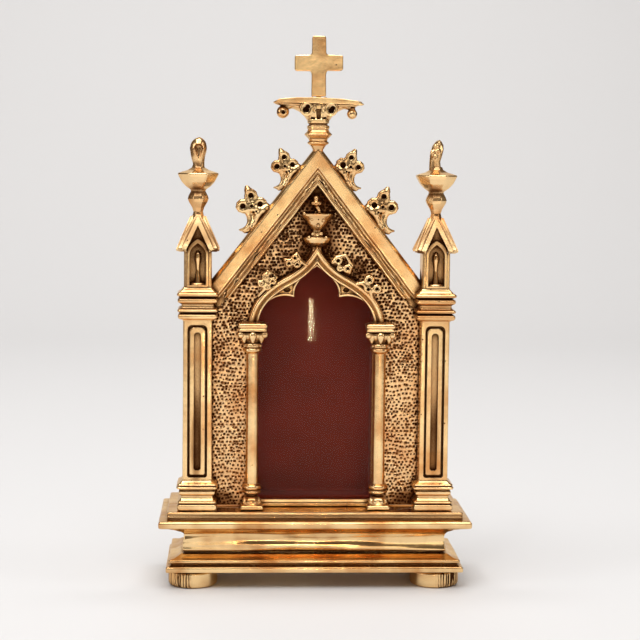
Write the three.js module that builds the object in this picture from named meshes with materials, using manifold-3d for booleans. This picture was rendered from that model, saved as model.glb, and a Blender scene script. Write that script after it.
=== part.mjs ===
// Table reliquary in the form of a Gothic chapel front, cast in brass.
// Millimetres, +Z up. The front looks along -Y. Origin: middle of the footprint, on the floor.
import * as THREE from 'three';
import { mergeVertices } from 'three/addons/utils/BufferGeometryUtils.js';
import Module from 'manifold-3d';

const wasm = await Module();
wasm.setup();

// Clearance left wherever two pieces meet.
const GAP = 0.3;

// Four turned feet.
const FOOT_DIAMETER = 14.6;
const FOOT_HEIGHT = 4.7;
const FOOT_X = 36.2;
const FOOT_Y = 8.0;

// Moulded base: a solid block with a plinth, a waisted body, a cornice and a top slab.
const CORNICE_WIDTH = 92.4;
const CORNICE_DEPTH = 36.0;
const PLINTH_SETBACK = 2.1;
const FILLET_SETBACK = 2.9;
const BODY_SETBACK = 7.0;
const SLAB_SETBACK = 2.4;
const PLINTH_BOTTOM = FOOT_HEIGHT + GAP;
const PLINTH_TOP = 6.7;
const FILLET_BOTTOM = 7.6;
const FILLET_TOP = 8.5;
const BODY_BOTTOM = 10.5;
const BODY_TOP = 16.6;
const CORNICE_BOTTOM = 18.5;
const CORNICE_TOP = 20.6;
const SLAB_TOP = 23.1;

// Facade plate: flat at the back, punched ground at the front, steep gable above.
const FACADE_BOTTOM = SLAB_TOP + GAP;
const PLATE_FRONT = -7.7;
const PLATE_BACK = -4.2;
const PLATE_HALF_WIDTH = 31.6;
const GABLE_APEX = 131.2;
const GABLE_PITCH = THREE.MathUtils.degToRad(52.3);
const GABLE_FRONT = -10.0;

// Window: trefoil head with an ogee point, straight jambs and a plain sill.
const WINDOW_HALF_WIDTH = 17.0;
const WINDOW_SILL = 25.4;
const WINDOW_SPRING = 78.8;
const CUSP_X = 6.6;
const CUSP_Z = 86.2;
const WINDOW_APEX = 95.4;
const ARCH_APEX = 97.4;
const ARCH_FRONT = -11.4;

// Corner pilasters.
const PILASTER_X = 35.0;
const PILASTER_Y = -9.3;
const SHAFT_HALF = 4.25;
const SHAFT_BOTTOM = 32.1;
const SHAFT_TOP = 79.6;
const CAPITAL_TOP = 88.0;

// Turrets over the pilasters, each with a cross-gabled roof.
const TURRET_HALF = 3.55;
const TURRET_EAVES = 100.6;
const TURRET_APEX = 110.8;
const EAVES_HALF = 6.45;
const TURRET_GABLE_HALF = 5.0;

// Colonnettes that carry the window arch.
const COLONNETTE_X = 18.8;
const COLONNETTE_Y = -11.0;
const COLONNETTE_RADIUS = 1.88;

// Crowning finial, leaf bracket and cross.
const FINIAL_Y = -8.3;
const BRACKET_HALF_WIDTH = 13.3;
const BRACKET_TOP = 144.8;
const CROSS_TOP = 162.5;
const CROSS_SHAFT_HALF = 2.1;
const CROSS_BAR_HALF = 7.1;
const CROSS_BAR_BOTTOM = 152.4;
const CROSS_BAR_TOP = 157.1;
const CROSS_THICKNESS = 2.8;

// Case behind the facade, house-shaped, open at the front and closed by a screwed back plate.
const CASE_HALF_WIDTH = 22.4;
const CASE_BOTTOM = SLAB_TOP + GAP;
const CASE_EAVES = 84.0;
const CASE_FRONT = PLATE_BACK + GAP;
const CASE_BACK = 6.6;
const CASE_WALL = 1.2;
const GLASS_THICKNESS = 1.0;
const LINING_INSET = 4.5;
const LINING_WALL = 0.9;
const BACK_PLATE_THICKNESS = 1.4;
const POST_HALF = 1.45;
const SCREW_RADIUS = 0.7;

const polishedBrass = new THREE.MeshStandardMaterial({
  name: 'polished_brass', color: 0xd9a860, roughness: 0.28, metalness: 1.0,
});
const sheetBrass = new THREE.MeshStandardMaterial({
  name: 'sheet_brass', color: 0xb98a48, roughness: 0.42, metalness: 1.0,
});
const clearGlass = new THREE.MeshStandardMaterial({
  name: 'clear_glass', color: 0xeef2f0, roughness: 0.04, metalness: 0.0,
  transparent: true, opacity: 0.25,
});
const redCloth = new THREE.MeshStandardMaterial({
  name: 'red_cloth', color: 0x6a2420, roughness: 0.95, metalness: 0.0,
});

// ---- Joining and cutting ---------------------------------------------------------------------

function toSolid(geometry) {
  const bare = geometry.clone();
  bare.deleteAttribute('normal');
  bare.deleteAttribute('uv');
  const merged = mergeVertices(bare, 1e-4);
  const index = merged.getIndex().array;
  const position = merged.getAttribute('position').array;
  const triangles = [];
  for (let i = 0; i < index.length; i += 3) {
    const [a, b, c] = [index[i], index[i + 1], index[i + 2]];
    if (a !== b && b !== c && c !== a) {
      triangles.push(a, b, c);
    }
  }
  if (signedVolume(position, triangles) < 0) {
    for (let i = 0; i < triangles.length; i += 3) {
      [triangles[i + 1], triangles[i + 2]] = [triangles[i + 2], triangles[i + 1]];
    }
  }
  return new wasm.Manifold(new wasm.Mesh({
    numProp: 3,
    vertProperties: new Float32Array(position),
    triVerts: new Uint32Array(triangles),
  }));
}

function signedVolume(position, triangles) {
  const a = new THREE.Vector3();
  const b = new THREE.Vector3();
  const c = new THREE.Vector3();
  let volume = 0;
  for (let i = 0; i < triangles.length; i += 3) {
    a.fromArray(position, triangles[i] * 3);
    b.fromArray(position, triangles[i + 1] * 3);
    c.fromArray(position, triangles[i + 2] * 3);
    volume += a.dot(b.cross(c)) / 6;
  }
  return volume;
}

function join(solids) {
  return solids.reduce((whole, piece) => whole.add(piece));
}

function cut(solid, tools) {
  return tools.reduce((rest, tool) => rest.subtract(tool), solid);
}

function mirrored(build) {
  return [build(-1), build(1)];
}

function toMesh(name, solid, material) {
  const mesh = solid.getMesh();
  const geometry = new THREE.BufferGeometry();
  geometry.setAttribute('position', new THREE.BufferAttribute(new Float32Array(mesh.vertProperties), 3));
  geometry.setIndex(new THREE.BufferAttribute(new Uint32Array(mesh.triVerts), 1));
  const merged = mergeVertices(geometry, 1e-5);
  merged.computeVertexNormals();
  const node = new THREE.Mesh(merged, material);
  node.name = name;
  return node;
}

// ---- Basic forms -----------------------------------------------------------------------------

// Block between two opposite corners.
function block(x0, y0, z0, x1, y1, z1) {
  const geometry = new THREE.BoxGeometry(x1 - x0, y1 - y0, z1 - z0);
  geometry.translate((x0 + x1) / 2, (y0 + y1) / 2, (z0 + z1) / 2);
  return toSolid(geometry);
}

// Outline drawn in X and Z, given a thickness from its front face back to its rear face.
function slab(shape, front, back, curveSegments = 8) {
  const geometry = new THREE.ExtrudeGeometry(shape, {
    depth: back - front, bevelEnabled: false, curveSegments,
  });
  geometry.rotateX(Math.PI / 2);
  geometry.translate(0, back, 0);
  return toSolid(geometry);
}

function outline(points) {
  return new THREE.Shape(points.map(([x, z]) => new THREE.Vector2(x, z)));
}

// Upright form whose plan is a regular polygon with a flat side to the front.
// The profile lists [half width across flats, height] from the bottom to the top.
function turned(profile, sides, x, y, depthScale = 1) {
  const corner = 1 / Math.cos(Math.PI / sides);
  const points = profile.map(([half, z]) => new THREE.Vector2(half * corner, z));
  points.unshift(new THREE.Vector2(0, profile[0][1]));
  points.push(new THREE.Vector2(0, profile[profile.length - 1][1]));
  const geometry = new THREE.LatheGeometry(points, sides, Math.PI / sides);
  geometry.rotateX(Math.PI / 2);
  geometry.scale(1, depthScale, 1);
  geometry.translate(x, y, 0);
  return toSolid(geometry);
}

// Short round bar lying front to back.
function bar(x, z, radius, front, back, sides = 12) {
  const geometry = new THREE.CylinderGeometry(radius, radius, back - front, sides);
  geometry.translate(x, (front + back) / 2, z);
  return toSolid(geometry);
}

function ball(x, y, z, radius) {
  const geometry = new THREE.SphereGeometry(radius, 10, 6);
  geometry.translate(x, y, z);
  return toSolid(geometry);
}

// ---- Base and feet ---------------------------------------------------------------------------

// Rectangular moulding: each level is the full cornice size less a setback all round.
function moulding(levels) {
  const rings = levels.map(([setback, z]) => {
    const halfX = CORNICE_WIDTH / 2 - setback;
    const halfY = CORNICE_DEPTH / 2 - setback;
    return [[-halfX, -halfY, z], [halfX, -halfY, z], [halfX, halfY, z], [-halfX, halfY, z]];
  });
  const last = rings.length - 1;
  const faces = [[0, 2, 1], [0, 3, 2]];
  faces.push([last * 4, last * 4 + 1, last * 4 + 2], [last * 4, last * 4 + 2, last * 4 + 3]);
  for (let level = 0; level < last; level += 1) {
    for (let side = 0; side < 4; side += 1) {
      const a = level * 4 + side;
      const b = level * 4 + (side + 1) % 4;
      faces.push([a, b, b + 4], [a, b + 4, a + 4]);
    }
  }
  const geometry = new THREE.BufferGeometry();
  geometry.setAttribute('position', new THREE.Float32BufferAttribute(rings.flat(2), 3));
  geometry.setAttribute('normal', new THREE.Float32BufferAttribute(rings.flat(2), 3));
  geometry.setAttribute('uv', new THREE.Float32BufferAttribute(rings.flat().flatMap(() => [0, 0]), 2));
  geometry.setIndex(faces.flat());
  return toSolid(geometry);
}

function buildBase() {
  const coveSetback = BODY_SETBACK - 0.5;
  return moulding([
    [PLINTH_SETBACK, PLINTH_BOTTOM],
    [PLINTH_SETBACK, PLINTH_TOP],
    [FILLET_SETBACK + 1.0, PLINTH_TOP + 0.2],
    [FILLET_SETBACK + 1.0, FILLET_BOTTOM],
    [FILLET_SETBACK, FILLET_BOTTOM + 0.2],
    [FILLET_SETBACK, FILLET_TOP],
    [FILLET_SETBACK + 1.6, FILLET_TOP + 0.4],
    [coveSetback, BODY_BOTTOM - 0.7],
    [coveSetback + 0.6, BODY_BOTTOM],
    [BODY_SETBACK - 0.2, BODY_BOTTOM + 0.5],
    [BODY_SETBACK, (BODY_BOTTOM + BODY_TOP) / 2],
    [BODY_SETBACK - 0.2, BODY_TOP - 1.2],
    [BODY_SETBACK - 1.2, BODY_TOP],
    [BODY_SETBACK - 3.4, CORNICE_BOTTOM - 0.5],
    [1.2, CORNICE_BOTTOM],
    [0, CORNICE_BOTTOM + 0.3],
    [0, CORNICE_TOP],
    [SLAB_SETBACK, CORNICE_TOP + 0.4],
    [SLAB_SETBACK + 0.5, CORNICE_TOP + 1.0],
    [SLAB_SETBACK, CORNICE_TOP + 1.5],
    [SLAB_SETBACK, SLAB_TOP],
  ]);
}

function buildFoot(x, y) {
  const radius = FOOT_DIAMETER / 2;
  return turned([
    [radius - 0.9, 0],
    [radius - 0.3, 0.35],
    [radius, 1.2],
    [radius, FOOT_HEIGHT - 0.5],
    [radius - 0.4, FOOT_HEIGHT],
  ], 24, x, y);
}

// ---- Facade plate, gable and window ----------------------------------------------------------

// Distance up the gable slope line at a given offset inward from its outer edge.
function gableApex(inset) {
  return GABLE_APEX - inset / Math.cos(GABLE_PITCH);
}

function gableHeight(x, inset) {
  return gableApex(inset) - Math.abs(x) * Math.tan(GABLE_PITCH);
}

// One strip of the raking moulding, both slopes in one.
function rakingStrip(insetOuter, insetInner, front, back) {
  const reach = 33.0;
  return slab(outline([
    [-reach, gableHeight(reach, insetInner)],
    [0, gableApex(insetInner)],
    [reach, gableHeight(reach, insetInner)],
    [reach, gableHeight(reach, insetOuter)],
    [0, gableApex(insetOuter)],
    [-reach, gableHeight(reach, insetOuter)],
  ]), front, back);
}

function buildGable() {
  const strips = [
    rakingStrip(0, 1.2, GABLE_FRONT + 1.4, PLATE_BACK),
    rakingStrip(0.7, 4.2, GABLE_FRONT, PLATE_BACK),
    rakingStrip(4.2, 5.3, GABLE_FRONT + 1.3, PLATE_BACK),
    rakingStrip(5.3, 6.0, GABLE_FRONT + 0.5, PLATE_BACK),
    rakingStrip(6.0, 6.5, GABLE_FRONT + 1.5, PLATE_BACK),
    rakingStrip(6.5, 7.5, GABLE_FRONT + 0.3, PLATE_BACK),
  ];
  const clip = block(-31.5, -20, 82, 31.5, 0, GABLE_APEX + 5);
  return join(strips).intersect(clip);
}

function plateOutline() {
  const shoulder = gableHeight(PLATE_HALF_WIDTH, 1);
  return outline([
    [-PLATE_HALF_WIDTH, FACADE_BOTTOM],
    [PLATE_HALF_WIDTH, FACADE_BOTTOM],
    [PLATE_HALF_WIDTH, shoulder],
    [0, gableApex(1)],
    [-PLATE_HALF_WIDTH, shoulder],
  ]);
}

// Window light: sill, jambs, side lobes up to the cusps, then the pointed head.
function windowOutline() {
  const w = WINDOW_HALF_WIDTH;
  const shape = new THREE.Shape();
  shape.moveTo(-w, WINDOW_SILL);
  shape.lineTo(w, WINDOW_SILL);
  shape.lineTo(w, WINDOW_SPRING);
  shape.bezierCurveTo(w - 0.2, WINDOW_SPRING + 5.6, CUSP_X + 5.4, CUSP_Z + 1.6, CUSP_X, CUSP_Z);
  shape.bezierCurveTo(CUSP_X + 0.4, CUSP_Z + 3.6, CUSP_X - 1.8, CUSP_Z + 5.6, 0, WINDOW_APEX);
  shape.bezierCurveTo(-CUSP_X + 1.8, CUSP_Z + 5.6, -CUSP_X - 0.4, CUSP_Z + 3.6, -CUSP_X, CUSP_Z);
  shape.bezierCurveTo(-CUSP_X - 5.4, CUSP_Z + 1.6, -w + 0.2, WINDOW_SPRING + 5.6, -w, WINDOW_SPRING);
  return shape;
}

// Centre line of the ogee hood over the window, from the right springing over to the left.
function hoodPoints(offset) {
  const foot = new THREE.Vector2(18.6, WINDOW_SPRING);
  const turn = new THREE.Vector2(8.4, 91.0);
  const apex = new THREE.Vector2(0, ARCH_APEX);
  const haunch = new THREE.CubicBezierCurve(
    foot, new THREE.Vector2(18.2, 84.6), new THREE.Vector2(13.4, 88.3), turn,
  );
  const crown = new THREE.CubicBezierCurve(
    turn, new THREE.Vector2(5.4, 92.6), new THREE.Vector2(2.6, 94.8), apex,
  );
  const right = [];
  for (const curve of [haunch, crown]) {
    const steps = 5;
    for (let i = right.length ? 1 : 0; i <= steps; i += 1) {
      const point = curve.getPoint(i / steps);
      const tangent = curve.getTangent(i / steps);
      right.push([point.x + tangent.y * offset, point.y - tangent.x * offset]);
    }
  }
  right[right.length - 1][0] = 0;
  const left = right.slice(0, -1).reverse().map(([x, z]) => [-x, z]);
  return [...right, ...left];
}

function hoodStrip(outer, inner, front, back) {
  return slab(outline([...hoodPoints(outer), ...hoodPoints(inner).reverse()]), front, back);
}

function buildWindowArch() {
  const spandrel = slab(outline([...hoodPoints(-0.2)]), ARCH_FRONT + 1.9, PLATE_BACK);
  const ribs = [
    hoodStrip(1.5, 0.15, ARCH_FRONT, PLATE_BACK),
    hoodStrip(-0.15, -1.5, ARCH_FRONT + 0.7, PLATE_BACK),
    hoodStrip(0.3, -0.3, ARCH_FRONT + 1.4, PLATE_BACK),
  ];
  const eyes = mirrored((side) => bar(side * 8.6, 88.3, 0.85, ARCH_FRONT, PLATE_FRONT, 10));
  return cut(join([spandrel, ...ribs]), eyes);
}

// Small trefoil leaf growing from the hood: two round lobes, a curled tail and a stalk.
function hoodLeaf(side, x, z, size) {
  const place = ([dx, dz]) => [side * (x + dx * size), z + dz * size];
  const stalk = slab(outline([
    [-1.9, -1.4], [1.9, -3.6], [2.8, -2.7], [1.9, 1.2], [-0.3, 2.0], [-1.6, 1.0],
  ].map(place)), ARCH_FRONT - 0.3, PLATE_FRONT);
  const lobes = [[0.3, 1.9], [2.3, -0.4]].map(place);
  const rounds = lobes.map(([lx, lz]) => bar(lx, lz, 1.15 * size, ARCH_FRONT - 0.6, PLATE_FRONT, 10));
  const drilled = lobes.map(([lx, lz]) => bar(lx, lz, 0.5 * size, ARCH_FRONT - 1, ARCH_FRONT + 0.6, 6));
  return cut(join([stalk, ...rounds]), drilled);
}

// Double-cupped finial on the point of the hood, lying in relief on the ground.
function buildHoodFinial() {
  return turned([
    [2.6, 96.4],
    [1.5, 98.4],
    [1.0, 100.6],
    [3.4, 103.3],
    [3.6, 104.2],
    [1.3, 104.6],
    [1.0, 105.8],
    [3.6, 109.5],
    [4.4, 110.6],
    [1.2, 111.2],
    [0.6, 112.6],
    [1.1, 114.0],
    [0.5, 115.0],
    [0.9, 115.7],
    [0.3, 116.6],
  ], 12, 0, PLATE_FRONT, 0.95).intersect(block(-6, -14, 90, 6, PLATE_FRONT + 0.5, 118));
}

function buildColonnette(side) {
  const x = side * COLONNETTE_X;
  const shaft = turned([[COLONNETTE_RADIUS, 29], [COLONNETTE_RADIUS, 71]], 8, x, COLONNETTE_Y);
  const web = block(x - 1.2, COLONNETTE_Y, FACADE_BOTTOM, x + 1.2, PLATE_FRONT + 0.5, 78);
  const plinth = turned([[3.4, FACADE_BOTTOM], [3.4, 24.3], [2.9, 24.7]], 4, x, COLONNETTE_Y);
  const foot = turned([
    [2.9, 24.2], [2.7, 26.0], [2.4, 26.6], [1.2, 27.3], [1.9, 27.9],
    [2.7, 28.1], [2.8, 28.8], [2.3, 29.0], [2.8, 29.4], [2.8, 30.4], [1.9, 30.7],
  ], 8, x, COLONNETTE_Y);
  const bell = turned([
    [1.9, 69.8], [2.7, 70.4], [2.85, 71.2], [2.4, 71.4], [2.85, 71.8], [2.6, 72.6],
    [2.2, 73.0], [3.3, 73.6], [4.1, 74.8], [4.5, 76.0], [4.3, 76.4],
  ], 8, x, COLONNETTE_Y, 0.82);
  const abacus = turned([[4.2, 76.3], [4.35, 76.9], [4.0, 77.4], [4.35, 77.9], [4.3, 78.7]], 4, x,
    COLONNETTE_Y, 0.85);
  return join([shaft, web, plinth, foot, bell, abacus]);
}

// ---- Pilasters, turrets and crockets ---------------------------------------------------------

function buildPilaster(side) {
  const x = side * PILASTER_X;
  const base = turned([
    [5.85, FACADE_BOTTOM], [5.85, 25.1], [5.5, 25.2], [5.7, 25.6], [5.5, 26.1], [4.9, 26.5],
    [4.8, 27.4], [5.1, 28.1], [5.3, 28.3], [5.3, 29.0], [5.0, 29.2], [5.0, 29.6],
    [6.0, 29.9], [6.1, 30.3], [5.9, 30.7], [5.0, 31.4], [SHAFT_HALF + 0.2, SHAFT_BOTTOM],
  ], 4, x, PILASTER_Y);
  const shaft = turned([
    [SHAFT_HALF + 0.1, SHAFT_BOTTOM - 0.5], [SHAFT_HALF, SHAFT_TOP + 0.5],
  ], 4, x, PILASTER_Y);
  const capital = turned([
    [SHAFT_HALF, SHAFT_TOP], [5.3, 80.0], [5.6, 80.6], [5.6, 81.3], [5.3, 81.6], [5.8, 81.9],
    [5.8, 82.6], [5.0, 83.1], [4.9, 84.4], [5.4, 84.9], [5.8, 85.3], [5.8, 86.0],
    [5.5, 86.4], [6.0, 86.7], [6.0, 87.4], [5.4, CAPITAL_TOP],
  ], 4, x, PILASTER_Y);
  const panelFront = PILASTER_Y - SHAFT_HALF - 0.1;
  const recess = slab(roundHeaded(x, 2.7, 32.9, 78.2), panelFront - 1, panelFront + 0.9);
  const bead = slab(roundHeaded(x, 2.1, 33.9, 77.2), panelFront + 0.35, panelFront + 2);
  const channel = slab(roundHeaded(x, 1.3, 34.9, 76.2), panelFront - 1, panelFront + 1.0);
  const panel = cut(bead, [channel]);
  const backCut = block(x - 8, PLATE_BACK, 20, x + 8, PLATE_BACK + 5, 90);
  const whole = cut(join([cut(join([base, shaft, capital]), [recess]), panel]), [backCut]);
  return whole;
}

// Tall panel outline with a rounded head and a flat foot.
function roundHeaded(x, half, bottom, top) {
  const shape = new THREE.Shape();
  shape.moveTo(x - half, bottom);
  shape.lineTo(x + half, bottom);
  shape.lineTo(x + half, top - half * 0.8);
  shape.quadraticCurveTo(x + half, top, x, top);
  shape.quadraticCurveTo(x - half, top, x - half, top - half * 0.8);
  return shape;
}

// Niche opening with a pointed head.
function niche(x, half, bottom, top) {
  const shape = new THREE.Shape();
  shape.moveTo(x - half, bottom);
  shape.lineTo(x + half, bottom);
  shape.lineTo(x + half, top - 3.2);
  shape.quadraticCurveTo(x + half, top - 1.1, x, top);
  shape.quadraticCurveTo(x - half, top - 1.1, x - half, top - 3.2);
  return shape;
}

// One arm of the cross-gabled spire: gables front and back that lean in from the eaves to the
// point, each with two raised rakes round a sunk tympanum.
function spireArm() {
  const low = TURRET_EAVES - 1.4;
  const half = TURRET_GABLE_HALF;
  const face = slab(outline([
    [-half + 1.6, low], [half - 1.6, low], [half, TURRET_EAVES + 0.3], [0.3, TURRET_APEX],
    [-0.3, TURRET_APEX], [-half, TURRET_EAVES + 0.3],
  ]), -EAVES_HALF - 1, EAVES_HALF + 1);
  const lean = slab(outline([
    [-EAVES_HALF + 0.5, low], [EAVES_HALF - 0.5, low], [EAVES_HALF, TURRET_EAVES],
    [0.9, TURRET_APEX], [-0.9, TURRET_APEX], [-EAVES_HALF, TURRET_EAVES],
  ]), -EAVES_HALF - 1, EAVES_HALF + 1).rotate([0, 0, 90]);
  const sunk = outline([[-half + 1.9, low - 0.5], [half - 1.9, low - 0.5], [0, TURRET_APEX - 3.0]]);
  const depth = TURRET_HALF + 0.15;
  return cut(face.intersect(lean), [
    slab(sunk, -EAVES_HALF - 2, -depth), slab(sunk, depth, EAVES_HALF + 2),
  ]);
}

function buildTurret(side) {
  const x = side * PILASTER_X;
  const y = PILASTER_Y;
  const front = y - TURRET_HALF;
  const shaft = turned([
    [TURRET_HALF + 1.1, CAPITAL_TOP - 0.6],
    [TURRET_HALF + 0.2, CAPITAL_TOP + 0.7],
    [TURRET_HALF, TURRET_EAVES + 1.2],
  ], 4, x, y);
  const spire = [0, 90].map((turn) => spireArm().rotate([0, 0, turn]).translate([x, y, 0]));
  const hollow = slab(niche(x, 2.25, 89.6, 102.2), front - 1, front + 1.5);
  const figure = slab(outline([
    [x - 1.0, 89.2], [x + 1.0, 89.2], [x + 0.7, 94.0], [x + 0.9, 96.6], [x, 99.6], [x - 0.9, 96.6],
    [x - 0.7, 94.0],
  ]), front + 0.4, front + 2);
  return join([cut(join([shaft, ...spire]), [hollow]), figure, buildUrn(x, y)]);
}

// Flaming urn on the turret: neck, faceted knob, faceted cup, low lid and a flame.
function buildUrn(x, y) {
  const urn = turned([
    [1.9, 109.0], [1.6, 111.6], [2.8, 114.3], [3.0, 115.1], [2.8, 115.8], [2.1, 117.3],
    [2.4, 118.2], [4.4, 120.8], [5.6, 121.9], [5.6, 122.5], [3.4, 123.3], [1.75, 124.1],
  ], 8, x, y);
  const flame = turned([
    [1.5, 123.8], [1.7, 125.6], [2.3, 128.2], [2.5, 130.4], [2.1, 132.0], [1.0, 133.0],
  ], 10, x, y);
  const notch = bar(x, 129.4, 1.0, y - 4, y - 1.8, 8);
  return cut(join([urn, flame]), [notch]);
}

// Crocket on the gable: three drilled lobes over a curling stem. d runs down the slope, n away.
function buildCrocket(side, down, size) {
  const along = [Math.cos(GABLE_PITCH), -Math.sin(GABLE_PITCH)];
  const away = [Math.sin(GABLE_PITCH), Math.cos(GABLE_PITCH)];
  const place = ([d, n]) => {
    const run = down + d * size;
    const rise = n * size;
    return [
      side * (along[0] * run + away[0] * rise),
      GABLE_APEX + along[1] * run + away[1] * rise,
    ];
  };
  const front = GABLE_FRONT + 0.6;
  const back = PLATE_BACK - 0.6;
  const stem = slab(outline([
    [-1.6, -1.0], [-2.1, 0.4], [-1.6, 2.6], [-1.3, 5.0], [-1.8, 8.8], [1.4, 7.6], [3.0, 6.8],
    [4.2, 5.0], [4.4, 3.4], [5.6, 2.0], [7.4, 1.5], [9.0, 2.7], [9.7, 1.3], [10.1, -1.0],
  ].map(place)), front, back);
  const lobes = [[-0.2, 2.5, 1.5], [-0.2, 6.3, 1.7], [3.3, 6.0, 1.8]];
  const rounds = lobes.map(([d, n, radius]) => {
    const [cx, cz] = place([d, n]);
    return bar(cx, cz, radius * size, front - 0.5, back, 10);
  });
  const drilled = lobes.map(([d, n, radius]) => {
    const [cx, cz] = place([d, n]);
    return bar(cx, cz, radius * 0.5 * size, front - 2, front + 1.0, 6);
  });
  return cut(join([stem, ...rounds]), drilled);
}

// ---- Crowning finial and cross ---------------------------------------------------------------

function buildFinial() {
  const knop = turned([
    [2.2, 126.0], [1.35, 129.2], [2.2, 130.9], [3.1, 131.5], [2.6, 132.1], [2.9, 132.8],
    [3.95, 134.0], [3.3, 134.9], [3.0, 135.6], [3.2, 136.6], [2.6, 137.1], [3.1, 137.5],
    [3.1, 138.2],
  ], 8, 0, FINIAL_Y);
  const bracket = slab(bracketOutline(), FINIAL_Y - 3.0, FINIAL_Y + 3.0, 6);
  const boss = turned([
    [2.9, 137.4], [3.4, 139.4], [4.6, 141.8], [5.2, 143.6], [4.6, 144.4],
  ], 8, 0, FINIAL_Y, 0.8);
  const shelf = slab(outline([
    [-BRACKET_HALF_WIDTH, 142.5], [BRACKET_HALF_WIDTH, 142.5], [11.0, 144.3], [0, BRACKET_TOP],
    [-11.0, 144.3],
  ]), FINIAL_Y - 3.4, FINIAL_Y + 3.4);
  const pendants = [ball(-10.4, FINIAL_Y - 0.6, 140.5, 1.95), ball(9.9, FINIAL_Y - 0.6, 140.1, 1.6)];
  const eyes = mirrored((side) => bar(side * 3.4, 141.4, 1.05, FINIAL_Y - 8, FINIAL_Y - 3.0, 8));
  const groove = block(-0.65, FINIAL_Y - 8, 137.9, 0.65, FINIAL_Y - 3.1, 142.6);
  const socket = block(-1.0, FINIAL_Y - 1.0, 141.0, 1.0, FINIAL_Y + 1.0, 146);
  return cut(join([knop, bracket, boss, shelf, ...pendants]), [...eyes, groove, socket]);
}

// Arms of the leaf bracket, sweeping out from the knop to the pointed tips of the shelf.
function bracketOutline() {
  const w = BRACKET_HALF_WIDTH;
  const shape = new THREE.Shape();
  shape.moveTo(-3.0, 137.4);
  shape.lineTo(3.0, 137.4);
  shape.quadraticCurveTo(4.2, 141.0, 7.2, 141.3);
  shape.quadraticCurveTo(9.0, 141.4, 9.6, 140.0);
  shape.lineTo(11.2, 141.0);
  shape.lineTo(w - 0.2, 142.9);
  shape.lineTo(w - 1.6, 143.9);
  shape.lineTo(-w + 1.6, 143.9);
  shape.lineTo(-w + 0.2, 142.9);
  shape.lineTo(-11.2, 141.0);
  shape.lineTo(-9.6, 140.0);
  shape.quadraticCurveTo(-9.0, 141.4, -7.2, 141.3);
  shape.quadraticCurveTo(-4.2, 141.0, -3.0, 137.4);
  return shape;
}

function buildCross() {
  const s = CROSS_SHAFT_HALF;
  const w = CROSS_BAR_HALF;
  const flare = 0.3;
  const foot = BRACKET_TOP + GAP;
  const front = FINIAL_Y - CROSS_THICKNESS / 2;
  const back = FINIAL_Y + CROSS_THICKNESS / 2;
  const face = slab(outline([
    [-s - 0.1, foot], [s + 0.1, foot], [s, CROSS_BAR_BOTTOM + flare], [w, CROSS_BAR_BOTTOM],
    [w, CROSS_BAR_TOP], [s, CROSS_BAR_TOP - flare], [s + 0.1, CROSS_TOP], [-s - 0.1, CROSS_TOP],
    [-s, CROSS_BAR_TOP - flare], [-w, CROSS_BAR_TOP], [-w, CROSS_BAR_BOTTOM],
    [-s, CROSS_BAR_BOTTOM + flare],
  ]), front, back);
  const tenon = block(-0.7, FINIAL_Y - 0.7, 141.5, 0.7, FINIAL_Y + 0.7, foot + 1);
  return join([face, tenon]);
}

function buildFacade() {
  const plate = slab(plateOutline(), PLATE_FRONT, PLATE_BACK);
  const sill = block(-16.0, PLATE_FRONT - 0.9, FACADE_BOTTOM, 16.0, PLATE_FRONT + 1, WINDOW_SILL);
  const head = cut(join([plate, buildWindowArch()]), [
    slab(windowOutline(), -20, 0, 7),
  ]);
  const leaves = [
    ...mirrored((side) => hoodLeaf(side, 14.6, 89.2, 1.0)),
    ...mirrored((side) => hoodLeaf(side, 6.6, 94.9, 0.95)),
  ];
  const crockets = [
    ...mirrored((side) => buildCrocket(side, 9.6, 0.92)),
    ...mirrored((side) => buildCrocket(side, 24.6, 1.04)),
  ];
  return join([
    head, sill, buildGable(), buildHoodFinial(), ...leaves, ...crockets, buildFinial(),
    ...mirrored(buildColonnette), ...mirrored(buildPilaster), ...mirrored(buildTurret),
  ]);
}

// ---- Case, glass, lining and back plate ------------------------------------------------------

// House-shaped outline, drawn in from the outside of the case all round and up from its floor.
function house(inset, lift = inset) {
  const half = CASE_HALF_WIDTH - inset;
  const eaves = CASE_EAVES - inset * Math.tan((Math.PI / 2 - GABLE_PITCH) / 2) * 0.5;
  const apex = eaves + half * Math.tan(GABLE_PITCH);
  return outline([
    [-half, CASE_BOTTOM + lift], [half, CASE_BOTTOM + lift], [half, eaves], [0, apex],
    [-half, eaves],
  ]);
}

function screwPlaces() {
  const x = CASE_HALF_WIDTH - CASE_WALL - POST_HALF + 0.1;
  const low = CASE_BOTTOM + CASE_WALL + POST_HALF - 0.1;
  const high = CASE_EAVES - 4.0;
  return [[-x, low], [x, low], [-x, high], [x, high]];
}

function buildCase() {
  const walls = cut(slab(house(0), CASE_FRONT, CASE_BACK), [
    slab(house(CASE_WALL), CASE_FRONT - 1, CASE_BACK + 1),
  ]);
  const posts = screwPlaces().map(([x, z]) => block(
    x - POST_HALF, CASE_FRONT + GLASS_THICKNESS + 0.9, z - POST_HALF,
    x + POST_HALF, CASE_BACK, z + POST_HALF,
  ));
  const holes = screwPlaces().map(([x, z]) => bar(x, z, SCREW_RADIUS + GAP, CASE_BACK - 5, CASE_BACK + 1, 12));
  return cut(join([walls, ...posts]), holes);
}

function buildGlass() {
  const front = CASE_FRONT + 0.1;
  return slab(house(CASE_WALL + GAP), front, front + GLASS_THICKNESS);
}

function buildLining() {
  const front = CASE_FRONT + GLASS_THICKNESS + 0.4;
  const back = CASE_BACK - 0.1;
  const floor = CASE_WALL + 0.2;
  return cut(slab(house(LINING_INSET, floor), front, back), [
    slab(house(LINING_INSET + LINING_WALL, floor + 0.7), front - 1, back - LINING_WALL),
  ]);
}

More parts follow.
